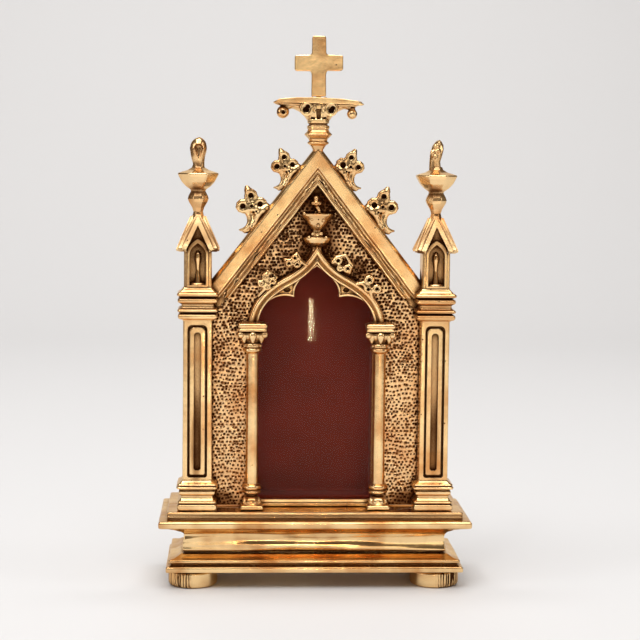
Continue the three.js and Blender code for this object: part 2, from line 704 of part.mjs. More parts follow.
function buildBackPlate() {
  const front = CASE_BACK + GAP;
  const holes = screwPlaces().map(([x, z]) => bar(
    x, z, SCREW_RADIUS + GAP, front - 1, front + BACK_PLATE_THICKNESS + 1, 12,
  ));
  return cut(slab(house(0), front, front + BACK_PLATE_THICKNESS), holes);
}

function buildScrew([x, z]) {
  const seat = CASE_BACK + GAP + BACK_PLATE_THICKNESS + GAP;
  const shank = bar(x, z, SCREW_RADIUS, CASE_BACK - 4, seat + 0.5, 8);
  const head = bar(x, z, 1.5, seat, seat + 0.7, 12);
  const crown = bar(x, z, 1.1, seat + 0.5, seat + 1.0, 12);
  const slot = block(x - 2, seat + 0.55, z - 0.2, x + 2, seat + 2, z + 0.2);
  return cut(join([shank, head, crown]), [slot]);
}

// ---- Assembly --------------------------------------------------------------------------------

const part = new THREE.Group();
part.name = 'reliquary';

const feet = [
  ['foot_front_left', -FOOT_X, -FOOT_Y],
  ['foot_front_right', FOOT_X, -FOOT_Y],
  ['foot_rear_left', -FOOT_X, FOOT_Y],
  ['foot_rear_right', FOOT_X, FOOT_Y],
];
for (const [name, x, y] of feet) {
  part.add(toMesh(name, buildFoot(x, y), polishedBrass));
}
part.add(toMesh('base', buildBase(), polishedBrass));
part.add(toMesh('facade', buildFacade(), polishedBrass));
part.add(toMesh('cross', buildCross(), polishedBrass));
part.add(toMesh('case', buildCase(), sheetBrass));
part.add(toMesh('glass', buildGlass(), clearGlass));
part.add(toMesh('lining', buildLining(), redCloth));
part.add(toMesh('back_plate', buildBackPlate(), sheetBrass));
const corners = ['lower_left', 'lower_right', 'upper_left', 'upper_right'];
screwPlaces().forEach((place, i) => {
  part.add(toMesh(`screw_${corners[i]}`, buildScrew(place), sheetBrass));
});

export default part;
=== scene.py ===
import math

import bmesh
import bpy
from mathutils import Matrix, Vector, noise


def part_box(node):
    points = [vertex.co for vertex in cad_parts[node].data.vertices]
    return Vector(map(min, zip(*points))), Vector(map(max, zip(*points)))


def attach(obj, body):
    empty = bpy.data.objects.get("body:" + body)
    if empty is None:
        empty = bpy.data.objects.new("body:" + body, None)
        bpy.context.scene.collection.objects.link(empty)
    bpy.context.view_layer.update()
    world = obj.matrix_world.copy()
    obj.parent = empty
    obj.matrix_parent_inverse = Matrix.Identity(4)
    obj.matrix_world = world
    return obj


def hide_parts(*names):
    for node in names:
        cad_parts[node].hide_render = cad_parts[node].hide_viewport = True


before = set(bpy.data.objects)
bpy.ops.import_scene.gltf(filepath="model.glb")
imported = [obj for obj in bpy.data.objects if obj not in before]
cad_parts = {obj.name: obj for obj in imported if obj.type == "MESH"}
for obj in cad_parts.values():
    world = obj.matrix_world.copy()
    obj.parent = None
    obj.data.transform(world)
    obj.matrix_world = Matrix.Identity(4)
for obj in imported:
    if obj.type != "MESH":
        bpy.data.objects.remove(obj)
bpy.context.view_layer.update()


# ---- Studio ----------------------------------------------------------------------------------
# A pale table that sweeps up into a pale wall, soft boxes above and at the sides, lamps in front and
# just over the table, and a camera a little to the left of the piece. No lamp is seen.

MM = 0.001
scene = bpy.context.scene
scene.view_settings.view_transform = "Standard"


def new_material(name):
    material = bpy.data.materials.new(name)
    material.use_nodes = True
    return material, material.node_tree, material.node_tree.nodes["Principled BSDF"]


def mesh_object(name, points, faces):
    """A mesh drawn in millimetres, with all its faces turned outwards."""
    mesh = bpy.data.meshes.new(name)
    mesh.from_pydata([(x * MM, y * MM, z * MM) for x, y, z in points], [], faces)
    shape = bmesh.new()
    shape.from_mesh(mesh)
    bmesh.ops.recalc_face_normals(shape, faces=shape.faces)
    shape.to_mesh(mesh)
    shape.free()
    obj = bpy.data.objects.new(name, mesh)
    scene.collection.objects.link(obj)
    return obj


def add_camera():
    yaw, pitch, roll = (math.radians(a) for a in (2.9, 5.6, 0.6))
    ahead = Vector((math.sin(yaw) * math.cos(pitch), math.cos(yaw) * math.cos(pitch), -math.sin(pitch)))
    right = ahead.cross(Vector((0, 0, 1))).normalized()
    up = right.cross(ahead)
    across = right * math.cos(roll) + up * math.sin(roll)
    upright = up * math.cos(roll) - right * math.sin(roll)
    data = bpy.data.cameras.new("camera")
    data.lens, data.sensor_width, data.clip_start = 98.44, 36.0, 0.01
    camera = bpy.data.objects.new("camera", data)
    camera.matrix_world = Matrix.Translation((-0.025, -0.523, 0.130)) @ Matrix(
        (across, upright, -ahead)).transposed().to_4x4()
    scene.collection.objects.link(camera)
    scene.camera = camera


def add_lamp(name, place, target, width, height, watts, colour=(1, 1, 1)):
    data = bpy.data.lights.new(name, "AREA")
    data.shape, data.size, data.size_y = "RECTANGLE", width, height
    data.energy, data.color = watts, colour
    lamp = bpy.data.objects.new(name, data)
    lamp.location = place
    lamp.rotation_euler = (Vector(target) - Vector(place)).to_track_quat("-Z", "Y").to_euler()
    lamp.visible_camera = False
    scene.collection.objects.link(lamp)
    return lamp


add_camera()
middle = (0, 0, 0.08)
add_lamp("soft box above", (-0.08, -0.44, 1.20), middle, 1.2, 1.08, 12.2)
add_lamp("soft box left", (-1.15, -0.45, 0.50), middle, 0.4, 0.8, 3.4)
add_lamp("soft box right", (1.15, -0.35, 0.50), middle, 0.3, 0.8, 2.0)
add_lamp("front lamp", (0.54, -1.5, 0.135), (0.54, 0, 0.08), 1.32, 0.27, 1.38, (1.0, 0.91, 0.78))
add_lamp("low lamp", (0.04, -0.35, 0.003), (0.04, -0.35, 1.0), 0.7, 0.5, 0.24, (1.0, 0.92, 0.80))
add_lamp("wall lamp", (0.0, 0.20, 1.45), (0.0, 1.05, 0.15), 1.0, 0.25, 9.6)
add_lamp("small spot above", (-0.22, -0.50, 0.80), middle, 0.09, 0.09, 0.55)
add_lamp("strip lamp", (0.0122, -0.300, 0.050), (-0.0013, -0.0038, 0.079), 0.0022, 0.019, 0.027,
         (1.0, 0.74, 0.42))

world = scene.world or bpy.data.worlds.new("room")
scene.world = world
world.use_nodes = True
sky = world.node_tree
dim = sky.nodes["Background"]
dim.inputs["Color"].default_value, dim.inputs["Strength"].default_value = (1.0, 0.84, 0.66, 1), 0.13
pale = sky.nodes.new("ShaderNodeBackground")
pale.inputs["Color"].default_value, pale.inputs["Strength"].default_value = (0.99, 0.985, 0.98, 1), 0.75
either = sky.nodes.new("ShaderNodeMixShader")
sky.links.new(sky.nodes.new("ShaderNodeLightPath").outputs["Is Camera Ray"], either.inputs[0])
sky.links.new(dim.outputs[0], either.inputs[1])
sky.links.new(pale.outputs[0], either.inputs[2])
sky.links.new(either.outputs[0], sky.nodes["World Output"].inputs["Surface"])

sweep = []
for step in range(33):
    turn = min(1.0, max(0.0, (step - 1) / 30)) * math.pi / 2
    if step == 0:
        sweep.append((-900.0, 0.0))
    elif step == 32:
        sweep.append((1150.0, 1700.0))
    else:
        sweep.append((650.0 + 500 * math.sin(turn), 500 - 500 * math.cos(turn)))
table = mesh_object(
    "pale_sweep",
    [(x, y, z) for y, z in sweep for x in (-500.0, 500.0)],
    [(2 * i, 2 * i + 1, 2 * i + 3, 2 * i + 2) for i in range(32)],
)
for face in table.data.polygons:
    face.use_smooth = True
paper, tree, shader = new_material("pale paper")
shader.inputs["Base Color"].default_value = (0.76, 0.755, 0.76, 1)
shader.inputs["Roughness"].default_value = 0.75
table.data.materials.append(paper)


# ---- Feet ------------------------------------------------------------------------------------
# Four short brass drums, turned on a lathe, with a rounded lower edge and a polished wall. Each is
# soldered under a corner of the base.

def loft(name, rings):
    """Closed solid through a stack of rings that all have the same number of points."""
    count = len(rings[0])
    faces = [tuple(range(count)), tuple(range((len(rings) - 1) * count, len(rings) * count))]
    for level in range(len(rings) - 1):
        for i in range(count):
            a, b = level * count + i, level * count + (i + 1) % count
            faces.append((a, b, b + count, a + count))
    return mesh_object(name, [p for ring in rings for p in ring], faces)


def soften(profile, radius, turns=2):
    """Profile with each inner corner turned into a short curve."""
    soft = [profile[0]]
    for before, corner, after in zip(profile, profile[1:], profile[2:]):
        ends = []
        for other in (before, after):
            length = math.dist(corner, other)
            share = min(radius / max(length, 1e-6), 0.42)
            ends.append([c + (o - c) * share for c, o in zip(corner, other)])
        for i in range(turns + 1):
            t = i / turns
            soft.append(tuple(
                (1 - t) ** 2 * a + 2 * t * (1 - t) * c + t * t * b
                for a, c, b in zip(ends[0], corner, ends[1])))
    soft.append(profile[-1])
    return soft


def flat_sided(sides, ease=0.12, steps=2):
    """Plan of a regular polygon, one flat to the front, half width 1, with eased corners."""
    corners = [
        (math.cos(math.tau * (i + 0.5) / sides) / math.cos(math.pi / sides),
         math.sin(math.tau * (i + 0.5) / sides) / math.cos(math.pi / sides))
        for i in range(sides)]
    plan = []
    for i, corner in enumerate(corners):
        near, far = corners[i - 1], corners[(i + 1) % sides]
        share = min(ease / math.dist(corner, near), 0.45)
        a = [c + (o - c) * share for c, o in zip(corner, near)]
        b = [c + (o - c) * share for c, o in zip(corner, far)]
        for k in range(steps + 1):
            t = k / steps
            plan.append(tuple(
                (1 - t) ** 2 * p + 2 * t * (1 - t) * c + t * t * q for p, c, q in zip(a, corner, b)))
    return plan


def round_plan(steps):
    return [(math.cos(math.tau * i / steps), math.sin(math.tau * i / steps)) for i in range(steps)]


def turned(name, profile, plan, x, y, depth=1.0):
    """Upright form: the profile lists [half width, height], the plan is its outline from above."""
    return loft(name, [
        [(x + px * half, y + py * half * depth, z) for px, py in plan] for half, z in profile])


def settle(obj):
    """Makes an object's live modifiers its plain mesh."""
    graph = bpy.context.evaluated_depsgraph_get()
    mesh = bpy.data.meshes.new_from_object(obj.evaluated_get(graph))
    obj.modifiers.clear()
    old, obj.data = obj.data, mesh
    bpy.data.meshes.remove(old)
    return obj


def dress(obj, angle=32.0):
    """Smooth shading that stops at sharp arrises, weighted to the broad faces."""
    obj.data.shade_smooth()
    obj.data.set_sharp_from_angle(angle=math.radians(angle))
    evened = obj.modifiers.new("even shading", "WEIGHTED_NORMAL")
    evened.keep_sharp = True
    return settle(obj)


def new_group(name, inputs, outputs, kind="ShaderNodeTree"):
    """Node group with its sockets: inputs are (label, kind, value), outputs (label, kind)."""
    tree = bpy.data.node_groups.new(name, kind)
    for label, kind, value in inputs:
        socket = tree.interface.new_socket(label, in_out="INPUT", socket_type="NodeSocket" + kind)
        if value is not None:
            socket.default_value = value
    for label, kind in outputs:
        tree.interface.new_socket(label, in_out="OUTPUT", socket_type="NodeSocket" + kind)
    return tree, tree.nodes.new("NodeGroupInput"), tree.nodes.new("NodeGroupOutput")


def node(tree, kind, _props=None, **inputs):
    """Adds a node. Inputs are named with _ for a space; a socket is linked, a value is set."""
    made = tree.nodes.new(kind)
    for key, value in (_props or {}).items():
        setattr(made, key, value)
    for key, value in inputs.items():
        spot = made.inputs[int(key[1:])] if key[0] == "_" else made.inputs[key.replace("_", " ")]
        if isinstance(value, bpy.types.NodeSocket):
            tree.links.new(value, spot)
        else:
            spot.default_value = value
    return made


def maths(tree, operation, *values, clamp=False):
    """Result of a maths node on sockets or values."""
    inputs = {f"_{i}": value for i, value in enumerate(values)}
    work = {"operation": operation, "use_clamp": clamp}
    return node(tree, "ShaderNodeMath", work, **inputs).outputs[0]


def remap(tree, value, low, high, smooth=False, **targets):
    """Value spread from low..high to 0..1 or the targets, with straight or eased ends."""
    ends = {"interpolation_type": "SMOOTHSTEP" if smooth else "LINEAR"}
    return node(tree, "ShaderNodeMapRange", ends, Value=value, From_Min=low, From_Max=high,
                **targets).outputs[0]


def cast_metal_group():
    """Colour, roughness and relief of old cast metal: patina lies in the hollows, and painted shade warms
    the metal round them.
    """
    tree, given, out = new_group("cast metal", [
        ("Place", "Vector", None), ("Open", "Float", 1.0), ("Metal", "Color", (0.9, 0.6, 0.25, 1)),
        ("Warm metal", "Color", (0.85, 0.45, 0.2, 1)), ("Patina", "Color", (0.05, 0.012, 0.002, 1)),
        ("Hollow start", "Float", 0.8), ("Hollow end", "Float", 0.3), ("Pinholes", "Float", 0.3),
        ("Polish", "Float", 0.2), ("Wave", "Float", 0.5), ("Filing", "Float", 0.0),
        ("Grain", "Float", 0.3),
    ], [("Color", "Color"), ("Roughness", "Float"), ("Height", "Float"), ("Patina", "Float")])
    place = given.outputs["Place"]
    cloud = node(tree, "ShaderNodeTexNoise", Vector=place, Scale=95.0, Detail=3.0)
    fine = node(tree, "ShaderNodeTexNoise", Vector=place, Scale=900.0, Detail=4.0)
    # Patina: hollows, loosened by cloudy noise.
    loose = maths(tree, "MULTIPLY_ADD", cloud.outputs["Fac"], 0.24, given.outputs["Open"])
    loose = maths(tree, "SUBTRACT", loose, 0.12)
    hollow = remap(tree, loose, given.outputs["Hollow start"], given.outputs["Hollow end"], True)
    # Casting pinholes: a few cells of a fine scatter hold one.
    cells = node(tree, "ShaderNodeTexVoronoi", Vector=place, Scale=420.0)
    pick = node(tree, "ShaderNodeSeparateColor", Color=cells.outputs["Color"])
    kept = maths(tree, "LESS_THAN", pick.outputs[0], given.outputs["Pinholes"])
    dot = remap(tree, cells.outputs["Distance"], 0.13, 0.05, True)
    hole = maths(tree, "MULTIPLY", kept, dot)
    both = maths(tree, "MAXIMUM", hollow, hole)
    # Colour: metal, warmer in clouds, and warmer towards the hollows as painted shade, then patina.
    warm = remap(tree, cloud.outputs["Fac"], 0.42, 0.72)
    half = maths(tree, "POWER", hollow, 0.5, clamp=True)
    warmth_and_shade = maths(tree, "MAXIMUM", warm, half)
    metal = node(tree, "ShaderNodeMix", {"data_type": "RGBA"}, _0=warmth_and_shade,
                 _6=given.outputs["Metal"], _7=given.outputs["Warm metal"])
    shade = node(tree, "ShaderNodeMix", {"data_type": "RGBA"}, _0=both,
                 _6=metal.outputs[2], _7=given.outputs["Patina"])
    # Roughness: polish, a little uneven, dull in the hollows.
    uneven = maths(tree, "MULTIPLY_ADD", fine.outputs["Fac"], 0.16, given.outputs["Polish"])
    rough = maths(tree, "MULTIPLY_ADD", both, 0.45, uneven, clamp=True)
    # Relief: long hand-filed waves, fine grain, pinholes.
    wave = node(tree, "ShaderNodeTexNoise", Vector=place, Scale=170.0, Detail=2.0)
    high = maths(tree, "MULTIPLY", wave.outputs["Fac"], given.outputs["Wave"])
    long_way = node(tree, "ShaderNodeVectorMath", {"operation": "MULTIPLY"}, _0=place, _1=(0.1, 1.0, 1.0))
    filed = node(tree, "ShaderNodeTexNoise", Vector=long_way.outputs[0], Scale=330.0, Detail=1.5)
    high = maths(tree, "MULTIPLY_ADD", filed.outputs["Fac"], given.outputs["Filing"], high)
    high = maths(tree, "MULTIPLY_ADD", fine.outputs["Fac"], given.outputs["Grain"], high)
    high = maths(tree, "MULTIPLY_ADD", hole, -0.35, high)
    for label, socket in (("Color", shade.outputs[2]), ("Roughness", rough), ("Height", high),
                          ("Patina", both)):
        tree.links.new(socket, out.inputs[label])
    return tree


cast_metal = cast_metal_group()


def brass(name, reach=1.6, ease=0.12, **values):
    """A brass finish: the shared cast metal effect, spread by how open each place is."""
    material, tree, shader = new_material(name)
    place = tree.nodes.new("ShaderNodeTexCoord")
    effect = tree.nodes.new("ShaderNodeGroup")
    effect.node_tree = cast_metal
    for key, value in values.items():
        effect.inputs[key.replace("_", " ")].default_value = value
    tree.links.new(place.outputs["Object"], effect.inputs["Place"])
    around = node(tree, "ShaderNodeAmbientOcclusion", {"samples": 6, "only_local": True},
                  Distance=reach * MM)
    tree.links.new(around.outputs["AO"], effect.inputs["Open"])
    eased = node(tree, "ShaderNodeBevel", {"samples": 4}, Radius=ease * MM)
    relief = node(tree, "ShaderNodeBump", Strength=1.0, Distance=0.10 * MM,
                  Height=effect.outputs["Height"], Normal=eased.outputs[0])
    tree.links.new(effect.outputs["Color"], shader.inputs["Base Color"])
    tree.links.new(effect.outputs["Roughness"], shader.inputs["Roughness"])
    tree.links.new(relief.outputs["Normal"], shader.inputs["Normal"])
    shader.inputs["Metallic"].default_value = 1.0
    shader.inputs["Specular Tint"].default_value = (1.0, 0.88, 0.72, 1)
    return material


polished_brass = brass(
    "polished brass", reach=2.5, Metal=(0.93, 0.65, 0.33, 1), Warm_metal=(0.60, 0.28, 0.095, 1),
    Patina=(0.075, 0.022, 0.005, 1), Hollow_start=0.86, Hollow_end=0.38, Pinholes=0.15,
    Polish=0.15, Wave=1.2, Grain=0.18)

foot_brass = brass(
    "streaked brass", Metal=(0.93, 0.66, 0.33, 1), Warm_metal=(0.66, 0.34, 0.12, 1),
    Patina=(0.05, 0.014, 0.003, 1), Hollow_start=0.80, Hollow_end=0.36, Pinholes=0.05,
    Polish=0.15, Wave=0.9, Grain=0.12)
tree = foot_brass.node_tree
place = next(n for n in tree.nodes if n.type == "TEX_COORD").outputs["Object"]
drawn_down = node(tree, "ShaderNodeVectorMath", {"operation": "MULTIPLY"}, _0=place, _1=(1.0, 1.0, 0.05))
streak = node(tree, "ShaderNodeTexNoise", Vector=drawn_down.outputs[0], Scale=2300.0, Detail=2.0)
streak = remap(tree, streak.outputs["Fac"], 0.44, 0.53)
outer = maths(tree, "ABSOLUTE", node(tree, "ShaderNodeSeparateXYZ", Vector=place).outputs[0])
outer = remap(tree, outer, 34.8 * MM, 37.6 * MM)
dull = maths(tree, "MULTIPLY", streak, outer)
open_part = next(n for n in tree.nodes if n.type == "AMBIENT_OCCLUSION").outputs["AO"]
effect = next(n for n in tree.nodes if n.type == "GROUP")
dull = maths(tree, "MULTIPLY_ADD", dull, -0.6, open_part)
tree.links.new(dull, effect.inputs["Open"])

FOOT_NODES = ("foot_front_left", "foot_front_right", "foot_rear_left", "foot_rear_right")
for foot_name in FOOT_NODES:
    low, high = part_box(foot_name)
    x, y = (low[0] + high[0]) / 2 / MM, (low[1] + high[1]) / 2 / MM
    radius, height = (high[0] - low[0]) / 2 / MM, high[2] / MM
    foot = turned("turned_" + foot_name, soften([
        (radius - 2.2, 0.0), (radius - 0.9, 0.0), (radius - 0.12, 0.5), (radius, 1.5),
        (radius - 0.05, height - 1.1), (radius, height - 0.9), (radius - 0.05, height - 0.25),
        (radius - 0.6, height), (radius - 2.0, height),
    ], 0.3, 3), round_plan(72), x, y)
    dress(foot, 40)
    foot.data.materials.append(foot_brass)
    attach(foot, "root")
    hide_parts(foot_name)


# ---- Base ------------------------------------------------------------------------------------
# One moulded block of cast brass: plinth, fillet, waisted body, cornice and a top slab with a fine
# groove round it. It was filed and buffed by hand, so its long faces are never quite flat.

base_low, base_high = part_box("base")
base_half = [(base_high[i] - base_low[i]) / 2 / MM for i in (0, 1)]


def rectangle(half_x, half_y, ease, z, along=30, across=10):
    """Rectangular ring with eased corners and many points on each side."""
    ring = []
    for cx, cy, start in ((1, 1, 0), (-1, 1, 90), (-1, -1, 180), (1, -1, 270)):
        for k in range(4):
            a = math.radians(start + 30 * k)
            ring.append((cx * (half_x - ease) + ease * math.cos(a),
                         cy * (half_y - ease) + ease * math.sin(a), z))
        end = Vector(ring[-1])
        nxt = {0: (-(half_x - ease), half_y), 90: (-half_x, -(half_y - ease)),
               180: (half_x - ease, -half_y), 270: (half_x, half_y - ease)}[start]
        steps = along if start in (0, 180) else across
        ring += [tuple(end.lerp(Vector((*nxt, z)), i / steps)) for i in range(1, steps)]
    return ring


base_profile = soften([
    (3.4, 5.0), (2.15, 5.05), (2.1, 5.3), (2.1, 6.35), (2.4, 6.7), (3.3, 6.85), (3.75, 7.2),
    (3.5, 7.6), (2.95, 7.75), (2.9, 8.4), (3.2, 8.65), (4.6, 8.9), (5.6, 9.3), (6.3, 9.75),
    (7.7, 9.95), (7.7, 10.3), (7.0, 10.5),
    (6.8, 11.0), (6.85, 11.6), (6.95, 12.2), (7.05, 12.8), (7.15, 13.4), (7.15, 14.0), (7.1, 14.6),
    (7.0, 15.2), (6.8, 15.8), (6.1, 16.5), (4.4, 17.4), (2.4, 18.1), (0.9, 18.45),
    (0.05, 18.75), (0.0, 19.6), (0.0, 20.35), (0.55, 20.75), (2.2, 20.95), (2.55, 21.1), (2.4, 21.3),
    (2.4, 21.85), (2.62, 21.98), (2.4, 22.12), (2.4, 22.8), (2.75, 23.1), (6.0, 23.1),
], 0.28, 2)
base_rings = []
for setback, z in base_profile:
    ring = rectangle(base_half[0] - setback, base_half[1] - setback, 0.45, z)
    swing = 0.60 if 10.2 < z < 16.6 else 0.12
    bent = []
    for x, y, level in ring:
        sink = swing * max(0.0, 0.3 + noise.noise(Vector((x * 0.05, y * 0.09, level * 0.42 + 4.0))))
        x -= math.copysign(sink, x) if abs(x) > base_half[0] - setback - 0.6 else 0
        y -= math.copysign(sink, y) if abs(y) > base_half[1] - setback - 0.6 else 0
        bent.append((x, y, level))
    base_rings.append(bent)
base = loft("moulded_base", base_rings)
dress(base, 40)


def paint_shade_spots(material, spots, level=0.0, reach=1000.0):
    """Painted shade: darkens the metal towards its patina round spots where the piece lies in shade, each
    (x, z, half width, half height, depth).
    """
    tree = material.node_tree
    effect = next(n for n in tree.nodes if n.type == "GROUP")
    around = next(n for n in tree.nodes if n.type == "AMBIENT_OCCLUSION")
    place = next(n for n in tree.nodes if n.type == "TEX_COORD").outputs["Object"]
    open_part = around.outputs["AO"]
    for x, z, wide, tall, depth in spots:
        away = node(tree, "ShaderNodeVectorMath", {"operation": "SUBTRACT"}, _0=place,
                    _1=(x * MM, level * MM, z * MM))
        away = node(tree, "ShaderNodeVectorMath", {"operation": "MULTIPLY"}, _0=away.outputs[0],
                    _1=(1 / (wide * MM), 1 / (reach * MM), 1 / (tall * MM)))
        away = node(tree, "ShaderNodeVectorMath", {"operation": "LENGTH"}, _0=away.outputs[0])
        kept = remap(tree, away.outputs["Value"], 0.35, 1.0, True, To_Min=1.0 - depth, To_Max=1.0)
        open_part = maths(tree, "MULTIPLY", open_part, kept)
    tree.links.new(open_part, effect.inputs["Open"])


base_brass = brass(
    "filed brass", reach=2.4, Metal=(0.92, 0.65, 0.33, 1), Warm_metal=(0.50, 0.22, 0.065, 1),
    Patina=(0.085, 0.025, 0.005, 1), Hollow_start=0.78, Hollow_end=0.42, Pinholes=0.05,
    Polish=0.10, Wave=0.9, Filing=2.6, Grain=0.08)
# Painted shade: a darker band along the top slab, at the height of its groove.
paint_shade_spots(base_brass, [(0, 22.3, 70, 1.9, 0.26)])
base.data.materials.append(base_brass)
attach(base, "root")
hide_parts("base")


# ---- Facade: wall and punched ground ---------------------------------------------------------
# The front is a single brass casting. Its wall is flat at the back; the ground between the
# mouldings was punched all over with a round-nosed tool, and the dark patina stays in the marks.

WALL_FRONT, WALL_BACK, WALL_FOOT = -7.7, -4.2, 23.4
WALL_HALF = 31.6
GABLE_APEX, GABLE_PITCH = 131.2, math.radians(52.3)


def gable_height(x, inset):
    """Height of the line that runs inset millimetres inside the outer edge of the gable."""
    return GABLE_APEX - inset / math.cos(GABLE_PITCH) - abs(x) * math.tan(GABLE_PITCH)


def bezier(a, b, c, d, steps):
    points = []
    for i in range(steps + 1):
        t = i / steps
        points.append(tuple(
            (1 - t) ** 3 * p + 3 * t * (1 - t) ** 2 * q + 3 * t * t * (1 - t) * r + t ** 3 * s
            for p, q, r, s in zip(a, b, c, d)))
    return points


def slab(name, outline, front, back, ease=0.0, steps=2):
    """Outline in X and Z, given a thickness, with its front edge rounded over."""
    count = len(outline)
    points = [(x, front, z) for x, z in outline] + [(x, back, z) for x, z in outline]
    faces = [tuple(range(count)), tuple(range(count, 2 * count))]
    faces += [(i, (i + 1) % count, (i + 1) % count + count, i + count) for i in range(count)]
    obj = mesh_object(name, points, faces)
    if ease:
        shape = bmesh.new()
        shape.from_mesh(obj.data)
        rim = [e for e in shape.edges if all(v.co.y < (front + 0.001) * MM for v in e.verts)]
        bmesh.ops.bevel(shape, geom=rim, offset=ease * MM, segments=steps, profile=0.5,
                        affect="EDGES", clamp_overlap=True)
        bmesh.ops.recalc_face_normals(shape, faces=shape.faces)
        shape.to_mesh(obj.data)
        shape.free()
    return obj


def combine(body, others, operation="UNION"):
    """Joins solids to a body, or cuts them from it, and clears them away."""
    for other in others:
        cut = body.modifiers.new("cut", "BOOLEAN")
        cut.operation, cut.solver, cut.object = operation, "MANIFOLD", other
        settle(body)
        mesh = other.data
        bpy.data.objects.remove(other)
        bpy.data.meshes.remove(mesh)
    return body


def window_outline(grow=0.0):
    half, spring = 17.0 + grow, 78.8
    right = [(half, 24.4), (half, spring)]
    right += bezier((half, spring), (half - 0.2, spring + 5.6), (12.0 + grow, 87.8 + grow),
                    (6.6 + grow * 0.5, 86.2 + grow), 12)[1:]
    right += bezier((6.6 + grow * 0.5, 86.2 + grow), (7.0 + grow, 89.8), (4.8 + grow, 91.8 + grow),
                    (0, 95.4 + grow), 10)[1:]
    return right + [(-x, z) for x, z in reversed(right[:-1])]


wall = slab("cast_facade", [
    (-WALL_HALF, WALL_FOOT), (WALL_HALF, WALL_FOOT), (WALL_HALF, gable_height(WALL_HALF, 1)),
    (0, gable_height(0, 1)), (-WALL_HALF, gable_height(WALL_HALF, 1)),
], WALL_FRONT + 0.75, WALL_BACK)


